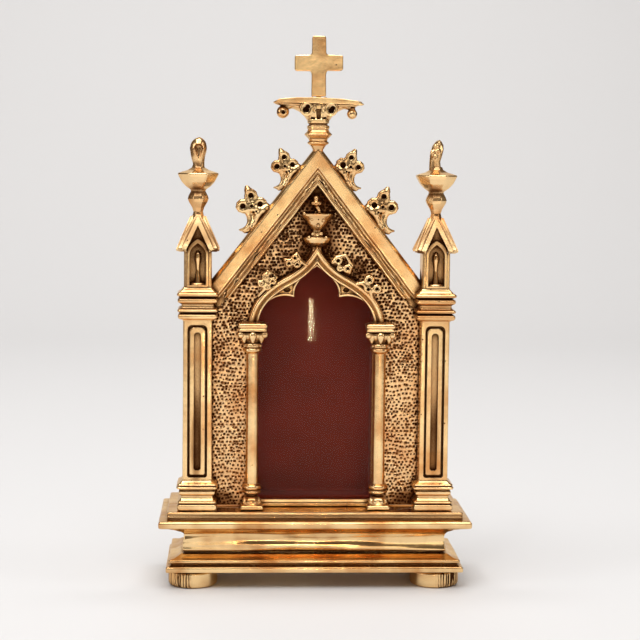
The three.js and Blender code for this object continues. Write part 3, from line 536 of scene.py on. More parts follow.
def punch_tree():
    """Punch marks: round hollows in staggered rows, a little uneven in place and size."""
    tree, given, out = new_group("punched ground", [
        ("Geometry", "Geometry", None), ("Width", "Float", 0.064), ("Height", "Float", 0.1),
        ("Foot", "Float", 0.023), ("Pitch", "Float", 0.00135), ("Radius", "Float", 0.0004),
        ("Depth", "Float", 0.0004), ("Unevenness", "Float", 0.0003), ("Seed", "Int", 5),
        ("Finish", "Material", None),
    ], [("Geometry", "Geometry")], "GeometryNodeTree")
    pitch = given.outputs["Pitch"]
    row_gap = maths(tree, "MULTIPLY", pitch, 0.98)
    columns = maths(tree, "CEIL", maths(tree, "DIVIDE", given.outputs["Width"], pitch))
    rows = maths(tree, "CEIL", maths(tree, "DIVIDE", given.outputs["Height"], row_gap))
    total = maths(tree, "MULTIPLY", columns, rows)
    marks = node(tree, "GeometryNodePoints", Count=total)
    index = node(tree, "GeometryNodeInputIndex").outputs[0]
    row = maths(tree, "FLOOR", maths(tree, "DIVIDE", index, columns))
    column = maths(tree, "SUBTRACT", index, maths(tree, "MULTIPLY", row, columns))
    stagger = maths(tree, "MULTIPLY", maths(tree, "MODULO", row, 2.0), 0.5)
    across = maths(tree, "MULTIPLY", maths(tree, "ADD", column, stagger), pitch)
    across = maths(tree, "SUBTRACT", across, maths(tree, "MULTIPLY", given.outputs["Width"], 0.5))
    up = maths(tree, "MULTIPLY_ADD", row, row_gap, given.outputs["Foot"])
    spot = node(tree, "ShaderNodeCombineXYZ", X=across, Y=WALL_FRONT * MM, Z=up)
    swing = node(tree, "FunctionNodeRandomValue", {"data_type": "FLOAT_VECTOR"}, _0=(-1, 0, -1),
                 _1=(1, 0, 1), Seed=given.outputs["Seed"])
    drift = node(tree, "ShaderNodeVectorMath", {"operation": "SCALE"}, _0=swing.outputs[0],
                 Scale=given.outputs["Unevenness"])
    wander = node(tree, "ShaderNodeTexNoise", {"noise_dimensions": "3D"}, Vector=spot.outputs[0],
                  Scale=110.0, Detail=1.0)
    centred = node(tree, "ShaderNodeVectorMath", {"operation": "SUBTRACT"}, _0=wander.outputs["Color"],
                   _1=(0.5, 0.5, 0.5))
    bend = node(tree, "ShaderNodeVectorMath", {"operation": "MULTIPLY"}, _0=centred.outputs[0],
                _1=(0.003, 0.0, 0.003))
    where = node(tree, "ShaderNodeVectorMath", {"operation": "ADD"}, _0=spot.outputs[0],
                 _1=drift.outputs[0])
    where = node(tree, "ShaderNodeVectorMath", {"operation": "ADD"}, _0=where.outputs[0],
                 _1=bend.outputs[0])
    placed = node(tree, "GeometryNodeSetPosition", Geometry=marks.outputs[0], Position=where.outputs[0])

    sheet = given.outputs["Geometry"]
    here = node(tree, "GeometryNodeInputPosition").outputs[0]
    nearest = node(tree, "GeometryNodeProximity", {"target_element": "POINTS"},
                   Geometry=placed.outputs[0], Sample_Position=here)
    which = node(tree, "GeometryNodeSampleNearest", Geometry=placed.outputs[0], Sample_Position=here)
    force = node(tree, "FunctionNodeRandomValue", {"data_type": "FLOAT"}, _2=0.55, _3=1.3,
                 ID=which.outputs[0], Seed=given.outputs["Seed"])
    # The punch went in deeper near the gable, where the ground is dark.
    tall = node(tree, "ShaderNodeSeparateXYZ", Vector=here).outputs[2]
    tall = remap(tree, tall, 0.062, 0.092, To_Min=0.96, To_Max=1.12)
    size = maths(tree, "MULTIPLY", given.outputs["Radius"], force.outputs[1])
    size = maths(tree, "MULTIPLY", size, tall)
    edge = maths(tree, "DIVIDE", nearest.outputs["Distance"], size)
    hollow = remap(tree, edge, 1.25, 0.35, True)
    level = node(tree, "ShaderNodeSeparateXYZ", Vector=here).outputs[1]
    front = node(tree, "FunctionNodeCompare", {"operation": "LESS_THAN"}, _0=level,
                 _1=(WALL_FRONT + 0.01) * MM)
    sunk = maths(tree, "MULTIPLY", given.outputs["Depth"], maths(tree, "POWER", tall, 2.0))
    sunk = maths(tree, "MULTIPLY", hollow, sunk)
    rolling = node(tree, "ShaderNodeTexNoise", {"noise_dimensions": "3D"}, Vector=here, Scale=260.0,
                   Detail=2.0)
    sunk = maths(tree, "MULTIPLY_ADD", rolling.outputs["Fac"], 0.00022, sunk)
    push = node(tree, "ShaderNodeCombineXYZ", Y=sunk)
    punched = node(tree, "GeometryNodeSetPosition", Geometry=sheet, Selection=front.outputs[0],
                   Offset=push.outputs[0])
    real = node(tree, "GeometryNodeRealizeInstances", Geometry=punched.outputs[0])
    done = node(tree, "GeometryNodeSetMaterial", Geometry=real.outputs[0],
                Material=given.outputs["Finish"])
    tree.links.new(done.outputs[0], out.inputs[0])
    return tree


ground_brass = brass(
    "punched brass", reach=1.3, ease=0.03, Metal=(0.86, 0.58, 0.31, 1),
    Warm_metal=(0.72, 0.37, 0.155, 1), Patina=(0.10, 0.027, 0.006, 1), Hollow_start=0.88,
    Hollow_end=0.42, Pinholes=0.0, Polish=0.24, Wave=0.8, Grain=0.5)


# Painted shade: darker ground under and round the inner finial's cups, beside the hood, at the pilasters'
# feet and along the window's foot (the sill takes this finish too), and a touch over the upper ground.
paint_shade_spots(ground_brass, [
    (0, 100.5, 9, 7, 0.34), (0, 115.5, 7, 8, 0.42), (0, 107, 9, 5, 0.34), (-14, 91.5, 7, 4.5, 0.32),
    (10.5, 94.5, 8, 5, 0.34), (16.5, 89.5, 5, 4, 0.25), (-30, 24, 12, 7, 0.40), (29, 24, 11, 7, 0.40),
    (-7, 96.5, 6, 4.5, 0.3), (0, 23.6, 22, 3.6, 0.4), (0, 104, 26, 22, 0.10)])
# Painted shade: in the pilaster panels, on the turret roofs, round the urns and flames, on the top of the
# cross, and over the left of the gable band and hood.
paint_shade_spots(polished_brass, [
    (-35.3, 43, 2.6, 19, 0.36), (35.3, 43, 2.6, 19, 0.30), (-35, 105, 8, 7, 0.24), (35, 105, 8, 7, 0.24),
    (-36, 117, 4.5, 4, 0.32), (34, 117, 4.5, 4, 0.32), (-35.5, 125, 3.5, 3, 0.3), (33.5, 126, 3, 5, 0.3),
    (0, 159, 5, 5, 0.25), (-22, 98, 16, 16, 0.24)],
    level=-12.0, reach=5.5)


def ground_sheet(step=0.247):
    """Thin dense sheet that shows between window, pilasters and gable."""
    left, foot, height = -30.6, 23.6, 93.0
    columns, rows = round(-2 * left / step), round(height / step)
    keep = {}
    for i in range(columns):
        for k in range(rows):
            x, z = left + (i + 0.5) * step, foot + (k + 0.5) * step
            if z > gable_height(x, 7.0):
                continue
            if z < 78 and abs(x) < 18.6:
                continue
            if 78 <= z and ((x / 17.8) ** 2 + ((z - 78) / 11.5) ** 2 < 1 or (
                    abs(x) < 8.0 * (97.0 - z) / 9.0 + 0.3)):
                continue
            keep[i, k] = True
    points, index, faces = [], {}, []

    def corner(i, k, back):
        key = (i, k, back)
        if key not in index:
            index[key] = len(points)
            points.append((left + i * step, WALL_FRONT + (1.2 if back else 0.0), foot + k * step))
        return index[key]

    for i, k in keep:
        around = ((i, k), (i + 1, k), (i + 1, k + 1), (i, k + 1))
        faces.append(tuple(corner(*c, False) for c in around))
        faces.append(tuple(corner(*c, True) for c in reversed(around)))
        sides = ((i, k - 1), (i + 1, k), (i, k + 1), (i - 1, k))
        for a, b, beside in zip(around, around[1:] + around[:1], sides):
            if beside not in keep:
                faces.append((corner(*b, False), corner(*a, False), corner(*a, True), corner(*b, True)))
    return mesh_object("punched_ground", points, faces)


ground = ground_sheet()
both_finishes = (polished_brass, ground_brass)
punches = ground.modifiers.new("punches", "NODES")
punches.node_group = punch_tree()
sockets = {s.name: s.identifier for s in punches.node_group.interface.items_tree if s.in_out == "INPUT"}
for label, value in (("Width", 0.064), ("Height", 0.098), ("Foot", 0.0235), ("Pitch", 0.00108),
                     ("Radius", 0.00035), ("Depth", 0.00056), ("Unevenness", 0.00022), ("Seed", 5),
                     ("Finish", ground_brass)):
    punches[sockets[label]] = value
settle(ground)
ground.data.materials.clear()
for finish in both_finishes:
    ground.data.materials.append(finish)
ground.data.polygons.foreach_set("material_index", [1] * len(ground.data.polygons))


# ---- Facade: raking mouldings of the gable ---------------------------------------------------
# Part of the same casting: a broad polished band with a chamfered outer edge, a cove and two fine
# ridges inside it, mitred at the apex. The ridges waver where they were chased by hand.

rake_profile = soften([
    (0.0, -4.2), (0.0, -8.75), (0.12, -9.0), (0.85, -9.95), (1.1, -10.0), (4.0, -10.0), (4.25, -9.85),
    (4.45, -9.35), (4.85, -9.15), (5.25, -9.3), (5.45, -9.7), (5.75, -9.88), (6.0, -9.7), (6.15, -9.5),
    (6.3, -9.45), (6.45, -9.55), (6.7, -9.88), (7.0, -9.95), (7.3, -9.75), (7.5, -8.7), (7.55, -7.0),
    (7.55, -4.2),
], 0.22, 2)
rake_rings = []
for i in range(-79, 80):
    x = i * 0.4
    side = 1.25 if x > 0 else 0.6
    ring = []
    for inset, y in rake_profile:
        waver = noise.noise(Vector((x * 0.35, inset * 0.7, 2.0))) * 0.16 * side
        shift = waver if 4.2 < inset < 7.4 and x else 0.0
        chased = max(0.0, noise.noise(Vector((x * 1.1, inset * 0.4, 7.0)))) * 1.1
        sink = abs(waver) * 0.5 + (chased if 5.3 < inset < 6.1 else 0.0)
        ring.append((x, y + (sink if inset > 4.2 and y < -9 else 0.0), gable_height(x, inset + shift)))
    rake_rings.append(ring)
gable = loft("gable", rake_rings)
gable = combine(gable, [slab("clip", [(-31.4, 86), (31.4, 86), (31.4, 140), (-31.4, 140)], -20, 0)],
                "INTERSECT")
facade_parts = [gable]


# ---- Facade: hood over the window ------------------------------------------------------------
# Part of the same casting: two ribs with a dark groove between them follow an ogee over the window,
# and a pierced cusp hangs from each side. The ribs run down onto the colonnettes.

def hood_path(steps=12):
    """Stations along the hood: place and outward direction, from right foot to left foot."""
    right = bezier((18.6, 78.2), (18.2, 84.6), (13.4, 88.3), (8.4, 91.0), steps)
    right += bezier((8.4, 91.0), (5.0, 92.8), (2.0, 95.4), (0.0, 98.7), steps)[1:]
    stations = []
    for i, (x, z) in enumerate(right):
        before, after = right[max(i - 1, 0)], right[min(i + 1, len(right) - 1)]
        dx, dz = after[0] - before[0], after[1] - before[1]
        size = math.hypot(dx, dz)
        stations.append((x, z, dz / size, -dx / size))
    x, z, nx, nz = stations[-1]
    left = [(-a, b, -c, d) for a, b, c, d in reversed(stations[:-1])]
    return stations[:-1] + [(0.0, z, 0.0, 1.0 / max(nz, 0.5))] + left


def swept(name, stations, profile):
    return loft(name, [[(x + nx * off, y, z + nz * off) for off, y in profile]
                       for x, z, nx, nz in stations])


hood_profile = soften([
    (1.5, -6.4), (1.5, -10.6), (1.15, -11.3), (0.7, -11.45), (0.2, -11.25), (-0.1, -10.75),
    (-0.35, -10.5), (-0.55, -10.7), (-0.8, -10.85), (-1.1, -10.85), (-1.4, -10.6), (-1.5, -9.9),
    (-1.5, -6.4),
], 0.2, 2)
hood = swept("hood", hood_path(), hood_profile)


def hood_edge(offset):
    return [(x + nx * offset, z + nz * offset) for x, z, nx, nz in hood_path()]


spandrel = slab("spandrel", hood_edge(-0.6), -9.5, -6.4)
lip_line = window_outline(0.38)[1:-1]
lip_stations = []
for i, (x, z) in enumerate(lip_line):
    before, after = lip_line[max(i - 1, 0)], lip_line[min(i + 1, len(lip_line) - 1)]
    dx, dz = after[0] - before[0], after[1] - before[1]
    size = math.hypot(dx, dz)
    lip_stations.append((x, z, dz / size, -dx / size))
lip = swept("lip", lip_stations, soften([
    (0.38, -9.0), (0.36, -10.0), (0.05, -10.3), (-0.35, -10.1), (-0.42, -9.0)], 0.15, 2))
hood = combine(hood, [spandrel, lip])
eyes = []
for side, width in ((-1, 1.0), (1, 0.85)):
    eyes.append(slab("eye", [(side * 8.75 + 1.15 * width * math.cos(a), 88.35 + 0.72 * math.sin(a))
                             for a in (math.tau * k / 12 for k in range(12))], -14, -8.6))
combine(hood, eyes, "DIFFERENCE")
sill = slab("sill", [(-17.4, WALL_FOOT), (17.4, WALL_FOOT), (17.4, 24.9), (17.1, 25.4), (-17.1, 25.4),
                     (-17.4, 24.9)], WALL_FRONT - 0.9, WALL_FRONT + 0.9, 0.25)
combine(sill, [slab("line", [(-17, 24.25), (17, 24.25), (17, 24.55), (-17, 24.55)], WALL_FRONT - 2,
                    WALL_FRONT - 0.6)], "DIFFERENCE")
sill.data.polygons.foreach_set("material_index", [1] * len(sill.data.polygons))
facade_parts += [hood, sill]


# ---- Facade: colonnettes ---------------------------------------------------------------------
# Part of the same casting: a slim flat-fronted shaft on each side of the window, with a moulded
# foot, a ring and leaf bell under a grooved abacus. The wall's window is cut between them.

def colonnette(side):
    x, y = side * 18.8, -11.0
    octagon, square = flat_sided(8, 0.18), flat_sided(4, 0.16)
    shaft = turned("shaft", [(1.92, 29.5), (1.88, 40), (1.80, 55), (1.85, 71)], flat_sided(8, 0.3), x, y)
    web = slab("web", [(x - 1.3, WALL_FOOT), (x + 1.3, WALL_FOOT), (x + 1.3, 78.4), (x - 1.3, 78.4)],
               y, WALL_FRONT + 1.2)
    plinth = turned("plinth", soften([
        (3.2, 23.4), (3.4, 23.5), (3.4, 24.2), (3.1, 24.5), (2.5, 24.7)], 0.2), square, x, y)
    foot = turned("foot", soften([
        (2.9, 24.2), (2.75, 25.4), (2.6, 26.2), (1.9, 26.9), (1.15, 27.3), (1.25, 27.6), (2.2, 27.9),
        (2.75, 28.15), (2.8, 28.6), (2.25, 28.95), (2.3, 29.1), (2.85, 29.4), (2.9, 30.1), (2.6, 30.5),
        (1.85, 30.75), (1.6, 31.2)], 0.22), octagon, x, y)
    neck = turned("neck", soften([
        (1.5, 69.3), (1.95, 69.8), (2.7, 70.3), (2.9, 70.9), (2.6, 71.3), (2.4, 71.4), (2.75, 71.7),
        (2.85, 72.2), (2.55, 72.7), (2.1, 73.0), (2.0, 73.6)], 0.22), round_plan(20), x, y)
    bell = turned("bell", soften([
        (2.0, 72.8), (2.6, 73.5), (3.3, 74.1), (3.9, 74.9), (3.9, 75.6), (3.3, 76.2), (2.6, 76.5)], 0.3),
        round_plan(20), x, y, 0.82)
    leaves = []
    for angle in (-90, -38, -142):
        a = math.radians(angle)
        lx, ly = x + 3.2 * math.cos(a), y + 2.6 * math.sin(a)
        leaves.append(turned("leaf", soften([
            (0.3, 72.9), (0.8, 73.6), (1.25, 74.6), (1.35, 75.4), (1.0, 76.1), (0.3, 76.4)], 0.25),
            round_plan(10), lx, ly))
    for corner in (-1, 1):
        leaves.append(turned("volute", soften([
            (0.3, 74.3), (0.9, 74.7), (1.1, 75.4), (0.9, 76.1), (0.3, 76.5)], 0.25),
            round_plan(10), x + corner * 3.5, y - 2.3))
    beads = [turned("bead", soften([(0.15, 71.55), (0.5, 71.75), (0.55, 72.2), (0.15, 72.6)], 0.15),
                    round_plan(8), x + 2.5 * math.cos(a), y + 2.5 * math.sin(a))
             for a in (math.radians(d) for d in (-150, -120, -90, -60, -30))]
    petals = [turned("petal", soften([(0.2, 24.5), (0.75, 25.0), (0.7, 26.0), (0.2, 26.6)], 0.2),
                     round_plan(8), x + 2.3 * math.cos(a), y + 2.3 * math.sin(a))
              for a in (math.radians(d) for d in (-155, -112, -68, -25))]
    abacus = turned("abacus", soften([
        (3.6, 76.3), (4.15, 76.45), (4.25, 76.9), (3.95, 77.15), (3.95, 77.4), (4.3, 77.6),
        (4.35, 78.2), (4.1, 78.6), (3.0, 78.9)], 0.18), square, x, y, 0.85)
    return combine(web, [shaft, plinth, foot, neck, bell, *leaves, *beads, *petals, abacus])


facade_parts += [colonnette(-1), colonnette(1)]


# ---- Facade: pilasters -----------------------------------------------------------------------
# Part of the same casting: square shafts at the corners with a sunk round-headed panel and a raised
# bead inside it, a stepped foot below and a double-ringed capital above.

def round_headed(x, half, bottom, top, bevel=0.5):
    bend = min(half, 1.5)
    head = [(x + side * (half - bend) + bend * math.cos(a), top - bend + bend * math.sin(a))
            for side, start in ((1, 0), (-1, 90))
            for a in (math.radians(start + 15 * k) for k in range(7))]
    return [(x - half, bottom + bevel), (x - half + bevel, bottom), (x + half - bevel, bottom),
            (x + half, bottom + bevel)] + head


def pilaster(side):
    x, y, half = side * 35.0, -9.3, 4.25
    square = flat_sided(4, 0.14)
    foot = turned("foot", soften([
        (5.6, 23.4), (5.85, 23.5), (5.85, 24.75), (5.6, 25.0), (5.15, 25.15), (5.5, 25.3), (5.8, 25.5),
        (5.75, 25.85), (5.2, 26.15), (4.75, 26.9), (4.75, 27.6), (5.15, 27.9), (5.35, 28.2), (5.35, 28.9),
        (4.9, 29.15), (5.0, 29.45), (5.95, 29.7), (6.1, 30.15), (5.6, 30.45), (5.5, 30.6), (5.85, 30.75),
        (5.8, 31.0), (5.1, 31.4), (4.5, 31.9), (4.3, 32.6)], 0.16), square, x, y)
    shaft = turned("shaft", [(half + 0.1, 31.5), (half + 0.05, 45), (half - 0.03, 62), (half, 80.2)],
                   flat_sided(4, 0.13), x, y)
    capital = turned("capital", soften([
        (4.2, 79.2), (4.6, 79.75), (5.4, 79.95), (5.75, 80.4), (5.75, 81.1), (5.3, 81.5), (4.65, 81.72),
        (5.3, 81.95), (5.85, 82.15), (5.9, 82.6), (5.5, 82.95), (4.9, 83.15), (4.7, 83.6), (4.7, 84.3),
        (5.3, 84.6), (5.8, 85.0), (5.8, 85.75), (5.3, 86.1), (4.7, 86.3), (5.4, 86.55), (6.0, 86.8),
        (6.05, 87.3), (5.6, 87.75), (4.6, 88.1)], 0.16), square, x, y)
    face = y - half
    recess = slab("recess", round_headed(x, 2.95, 32.9, 78.2), face - 3, face + 1.25)
    bead = slab("bead", round_headed(x, 2.42, 33.5, 77.5), face + 0.15, face + 2, 0.45, 3)
    channel = slab("channel", round_headed(x, 1.05, 35.0, 76.0), face - 3, face + 1.3)
    combine(shaft, [foot, capital])
    combine(shaft, [recess], "DIFFERENCE")
    combine(bead, [channel], "DIFFERENCE")
    combine(shaft, [bead])
    behind = slab("behind", [(x - 9, 20), (x + 9, 20), (x + 9, 92), (x - 9, 92)],
                  WALL_BACK, WALL_BACK + 9)
    return combine(shaft, [behind], "DIFFERENCE")


facade_parts += [pilaster(-1), pilaster(1)]


# ---- Facade: turrets -------------------------------------------------------------------------
# Part of the same casting: a small square turret on each pilaster, with a pointed niche, a roof of
# four gables, and a flaming urn on its point. The flames differ a little from side to side.

def quarter_turn(obj, x, y):
    obj.data.transform(Matrix.Translation((x * MM, y * MM, 0)) @ Matrix.Rotation(math.pi / 2, 4, "Z")
                       @ Matrix.Translation((-x * MM, -y * MM, 0)))
    return obj


def pointed(x, half, bottom, top):
    right = [(x + half, bottom), (x + half, top - 3.4)]
    right += bezier((x + half, top - 3.4), (x + half, top - 2.0), (x + half * 0.5, top - 0.8),
                    (x, top), 6)[1:]
    return right + [(2 * x - a, b) for a, b in reversed(right[:-1])]


def turret(side):
    x, y, half = side * 35.0, -9.3, 4.05
    eaves, apex = 100.6, 110.8
    body = turned("turret", soften([
        (5.2, 87.6), (4.9, 88.3), (4.35, 88.75), (half + 0.02, 89.2), (half, 101.9), (2.6, 102.4)], 0.3),
        flat_sided(4, 0.13), x, y)
    arms = []
    for turn in (0, 1):
        face = slab("arm", [(x - 3.4, eaves - 1.0), (x + 3.4, eaves - 1.0), (x + 5.7, eaves + 0.2),
                            (x + 0.35, apex), (x - 0.35, apex), (x - 5.7, eaves + 0.2)], y - 9, y + 9)
        bars = slab("bars", [(x - 3.3, eaves - 0.8), (x + 3.3, eaves - 0.8), (x + 4.7, eaves - 0.2),
                             (x + 0.2, apex - 0.9), (x - 0.2, apex - 0.9), (x - 4.7, eaves - 0.2)],
                    y - 9, y + 9)
        for piece, proud in ((face, 0.0), (bars, 0.55)):
            lean = quarter_turn(slab("lean", [
                (x - 5.5 - proud, eaves - 1.4), (x + 5.5 + proud, eaves - 1.4),
                (x + 5.8 + proud, eaves - 0.2), (x + 1.4 + proud, apex),
                (x - 1.4 - proud, apex), (x - 5.8 - proud, eaves - 0.2)], y - 9, y + 9), x, y)
            combine(piece, [lean], "INTERSECT")
        combine(face, [bars])
        arms.append(quarter_turn(face, x, y) if turn else face)
    combine(body, arms)
    # Each gable's field is cut upright behind its two bars, once the four are joined.
    field = [(x - 3.3, eaves - 1.2), (x + 3.3, eaves - 1.2), (x + 3.3, eaves - 0.2),
             (x, apex - 3.5), (x - 3.3, eaves - 0.2)]
    cuts = [slab("field", field, y + a, y + b) for a, b in ((-12, -3.2), (3.2, 12)) * 2]
    combine(body, cuts[:2] + [quarter_turn(cut, x, y) for cut in cuts[2:]], "DIFFERENCE")
    # Pointed rib round the niche, the niche, and the tapering stem inside it.
    front = y - half
    rib = slab("rib", pointed(x, 3.1, 89.3, 103.4), front - 0.45, front + 1, 0.25)
    combine(body, [rib])
    combine(body, [slab("niche", pointed(x, 2.4, 89.9, 102.2), front - 3, front + 2.5)], "DIFFERENCE")
    stem = turned("stem", soften([
        (1.2, 89.6), (0.85, 91.5), (0.5, 94.2), (0.75, 96.4), (1.05, 97.6), (0.9, 98.9),
        (0.3, 99.8)], 0.3), round_plan(10), x, front + 2.0)
    ledge = turned("ledge", soften([
        (1.9, 89.3), (2.4, 89.6), (2.45, 90.1), (1.9, 90.45)], 0.2), round_plan(16), x, front + 1.0, 0.55)
    combine(body, [stem, ledge])
    urn = turned("urn", soften([
        (2.0, 108.6), (1.4, 111.2), (1.75, 112.4), (2.75, 114.1), (3.05, 115.0), (2.8, 115.9),
        (2.1, 117.2), (2.3, 117.7), (3.6, 118.6), (4.8, 119.9), (5.6, 121.4), (5.95, 122.2),
        (5.8, 122.5), (4.6, 122.9), (3.2, 123.3), (1.9, 124.1), (1.6, 124.9)], 0.12),
        flat_sided(8, 0.11), x, y)
    return combine(body, [urn, flame(side, x, y)])


def balls(name, places, voxel, calm=4):
    """Soft cast form grown over a string of balls (x, y, z, radius, flattening front to back)."""
    shape = bmesh.new()
    for x, y, z, radius, flat in places:
        place = Matrix.Translation((x * MM, y * MM, z * MM)) @ Matrix.Diagonal((1, flat, 1, 1))
        bmesh.ops.create_icosphere(shape, subdivisions=2, radius=radius * MM, matrix=place)
    mesh = bpy.data.meshes.new(name)
    shape.to_mesh(mesh)
    shape.free()
    obj = bpy.data.objects.new(name, mesh)
    scene.collection.objects.link(obj)
    melt = obj.modifiers.new("melt", "REMESH")
    melt.mode, melt.voxel_size = "VOXEL", voxel * MM
    calmed = obj.modifiers.new("calm", "SMOOTH")
    calmed.iterations, calmed.factor = calm, 0.5
    return settle(obj)


def string(points, count, flat=1.0):
    """Balls along a bent line of (x, y, z, radius) points."""
    places = []
    for a, b in zip(points, points[1:]):
        for i in range(count):
            t = i / count
            places.append((*(p + (q - p) * t for p, q in zip(a, b)), flat))
    return places + [(*points[-1], flat)]


def flame(side, x, y):
    if side < 0:
        body = balls("flame", string([
            (x + 0.1, y, 123.6, 1.9), (x + 0.1, y, 125.4, 1.75), (x - 0.1, y, 127.6, 2.2),
            (x, y, 129.7, 2.65), (x + 0.1, y, 130.6, 2.3), (x + 0.2, y, 131.8, 1.2)], 5), 0.3)
        hollow = balls("drop", string([
            (x + 0.1, y - 2.2, 126.9, 0.45), (x + 0.2, y - 2.4, 129.8, 1.3)], 5), 0.25, 2)
        rear = balls("drop", string([
            (x + 0.1, y + 2.2, 126.9, 0.45), (x + 0.2, y + 2.4, 129.8, 1.3)], 5), 0.25, 2)
        return combine(body, [hollow, rear], "DIFFERENCE")
    lean = string([
        (x - 0.6, y, 123.6, 1.7), (x - 0.7, y - 0.1, 126.0, 1.6), (x - 0.4, y - 0.1, 128.4, 1.75),
        (x + 0.1, y, 130.2, 1.75), (x + 0.5, y, 131.6, 1.2), (x + 0.7, y, 132.3, 0.6)], 6)
    twist = string([
        (x + 0.7, y - 0.6, 124.4, 0.7), (x + 0.2, y - 1.0, 126.4, 0.75), (x + 0.8, y - 0.9, 128.4, 0.8),
        (x + 1.2, y - 0.6, 130.0, 0.8), (x + 1.4, y - 0.2, 131.3, 0.55)], 6)
    knobs = [(x - 1.5, y - 1.2, 129.2, 0.7, 1.0), (x + 0.2, y - 1.7, 129.6, 0.7, 1.0),
             (x - 0.6, y - 1.5, 130.9, 0.7, 1.0), (x + 0.6, y - 1.1, 131.9, 0.6, 1.0),
             (x - 0.7, y - 1.7, 127.9, 0.6, 1.0), (x - 0.6, y + 1.5, 129.9, 0.9, 1.0)]
    return balls("flame", lean + twist + knobs, 0.3)


facade_parts += [turret(-1), turret(1)]


# ---- Facade: crockets and leaves -------------------------------------------------------------
# Part of the same casting: four drilled three-lobed crockets climb the gable, each on a curling
# stem, and four small leaves lie on the hood. They were cast, then drilled and cut up by hand.

def drill(body, places, y_top, depth):
    """Round-nosed holes, each (x, z, radius)."""
    bits = []
    for x, z, radius in places:
        bits.append(slab("bit", [
            (x + radius * math.cos(math.tau * k / 12), z + radius * math.sin(math.tau * k / 12))
            for k in range(12)], y_top - 4, y_top + depth))
    return combine(body, bits, "DIFFERENCE")


def crocket(side, down, size, spread=0.0):
    cos, sin = math.cos(GABLE_PITCH), math.sin(GABLE_PITCH)

    def place(d, n):
        run, rise = down + d * size, n * size
        return side * (cos * run + sin * rise), GABLE_APEX - sin * run + cos * rise

    def lobe(d, n, y, radius, flat=1.0):
        x, z = place(d, n)
        return (x, y, z, radius * size, flat)

    y = -7.2
    lobes = [(-0.3, 2.4, 2.05 + spread), (-0.6, 6.0, 1.95), (3.2, 5.9, 2.1)]
    places = []
    for d, n, radius in lobes:
        for k in range(9):
            a = math.tau * k / 9
            rim = radius - 0.7
            places.append(lobe(d + rim * math.cos(a), n + rim * math.sin(a), y - 0.8, 0.76, 1.5))
        places.append(lobe(d, n, y + 0.6, radius * 0.85, 1.3))
    places += [lobe(d, n, y - 0.5, r, 1.5) for d, n, r in (
        (-1.2, 7.5, 1.15), (-1.6, 8.2, 0.8), (0.9, 4.3, 1.2), (1.4, 2.6, 1.3),
        (0.6, 0.9, 1.5), (2.2, 1.2, 1.5), (3.4, 0.8, 1.3), (4.8, 0.4, 1.2), (6.2, 0.2, 1.0),
        (2.4, 3.6, 1.2), (-0.8, 0.4, 1.2), (1.8, 5.0, 1.0))]
    curl = [(3.6, 4.4, 0.9), (4.0, 3.3, 0.85), (4.8, 2.2, 0.8), (6.0, 1.4, 0.75), (7.4, 1.25, 0.65),
            (8.6, 1.9, 0.5), (9.1, 2.5, 0.38)]
    stem = [(*place(d, n)[:1], y - 0.3, place(d, n)[1], r * size) for d, n, r in curl]
    places += string(stem, 4, 1.5)
    root = [(2.0, 3.6, 0.8), (3.2, 1.6, 0.9), (5.0, 0.3, 0.9), (7.5, 0.1, 0.6), (8.6, 0.9, 0.55)]
    stem = [(*place(d, n)[:1], y - 0.1, place(d, n)[1], r * size) for d, n, r in root]
    places += string(stem, 4, 1.5)
    seeds = ((2.1, 1.7, 0.42), (3.0, 0.8, 0.36), (1.6, 0.7, 0.34))
    places += [lobe(d, n, y - 1.7, r) for d, n, r in seeds]
    body = balls("crocket", places, 0.34 * size, 3)
    holes = [(*place(d, n), radius * 0.40 * size) for d, n, radius in lobes]
    drill(body, holes, y - 1.9, 1.9)
    return drill(body, [(*place(1.6, 4.0), 0.5 * size), (*place(2.0, 2.0), 0.36 * size),
                        (*place(2.7, 2.5), 0.36 * size)], y - 1.9, 1.2)


def hood_leaf(places, holes, ridge):
    """Small leaf: ring lobes (x, z, radius), drilled, on a ridge of (x, z, radius) points."""
    y = -9.6
    grown = []
    for x, z, radius in places:
        for k in range(8):
            a = math.tau * k / 8
            grown.append((x + radius * 0.72 * math.cos(a), y - 1.5, z + radius * 0.72 * math.sin(a),
                          radius * 0.50, 1.5))
        grown.append((x, y - 0.2, z, radius * 0.85, 1.3))
    grown += string([(x, y - 1.2, z, r * 1.15) for x, z, r in ridge], 5, 1.6)
    return drill(balls("leaf", grown, 0.24, 2), holes, y - 2.4, 1.7)


right_low = hood_leaf([(15.4, 91.6, 1.35), (17.7, 88.9, 1.3), (14.9, 89.0, 1.05)],
                      [(15.4, 91.6, 0.6), (17.7, 88.9, 0.55), (15.1, 88.8, 0.5)],
                      [(11.6, 90.3, 0.5), (13.4, 90.6, 0.6), (15.6, 88.6, 0.8), (16.2, 86.6, 0.5),
                       (16.6, 85.4, 0.3)])
right_high = hood_leaf([(6.2, 97.3, 1.15), (8.9, 94.8, 1.15), (6.7, 94.9, 0.9)],
                       [(6.1, 97.2, 0.55), (8.2, 97.2, 0.5), (9.0, 94.9, 0.5)],
                       [(4.6, 96.6, 0.5), (5.6, 98.4, 0.45), (8.4, 98.8, 0.45), (9.4, 97.0, 0.45),
                        (10.3, 95.6, 0.4), (9.6, 93.6, 0.45)])
left_low = hood_leaf([(-15.2, 92.4, 1.0), (-13.1, 91.0, 1.1), (-16.4, 90.2, 0.95), (-14.6, 89.4, 1.0)],
                     [(-13.2, 92.6, 0.6), (-16.5, 92.2, 0.45), (-13.2, 89.7, 0.55)],
                     [(-17.2, 91.0, 0.4), (-15.0, 91.0, 0.5), (-12.0, 92.2, 0.5), (-14.6, 94.0, 0.4),
                      (-15.2, 90.6, 0.6), (-15.6, 88.4, 0.5), (-17.2, 86.6, 0.35)])
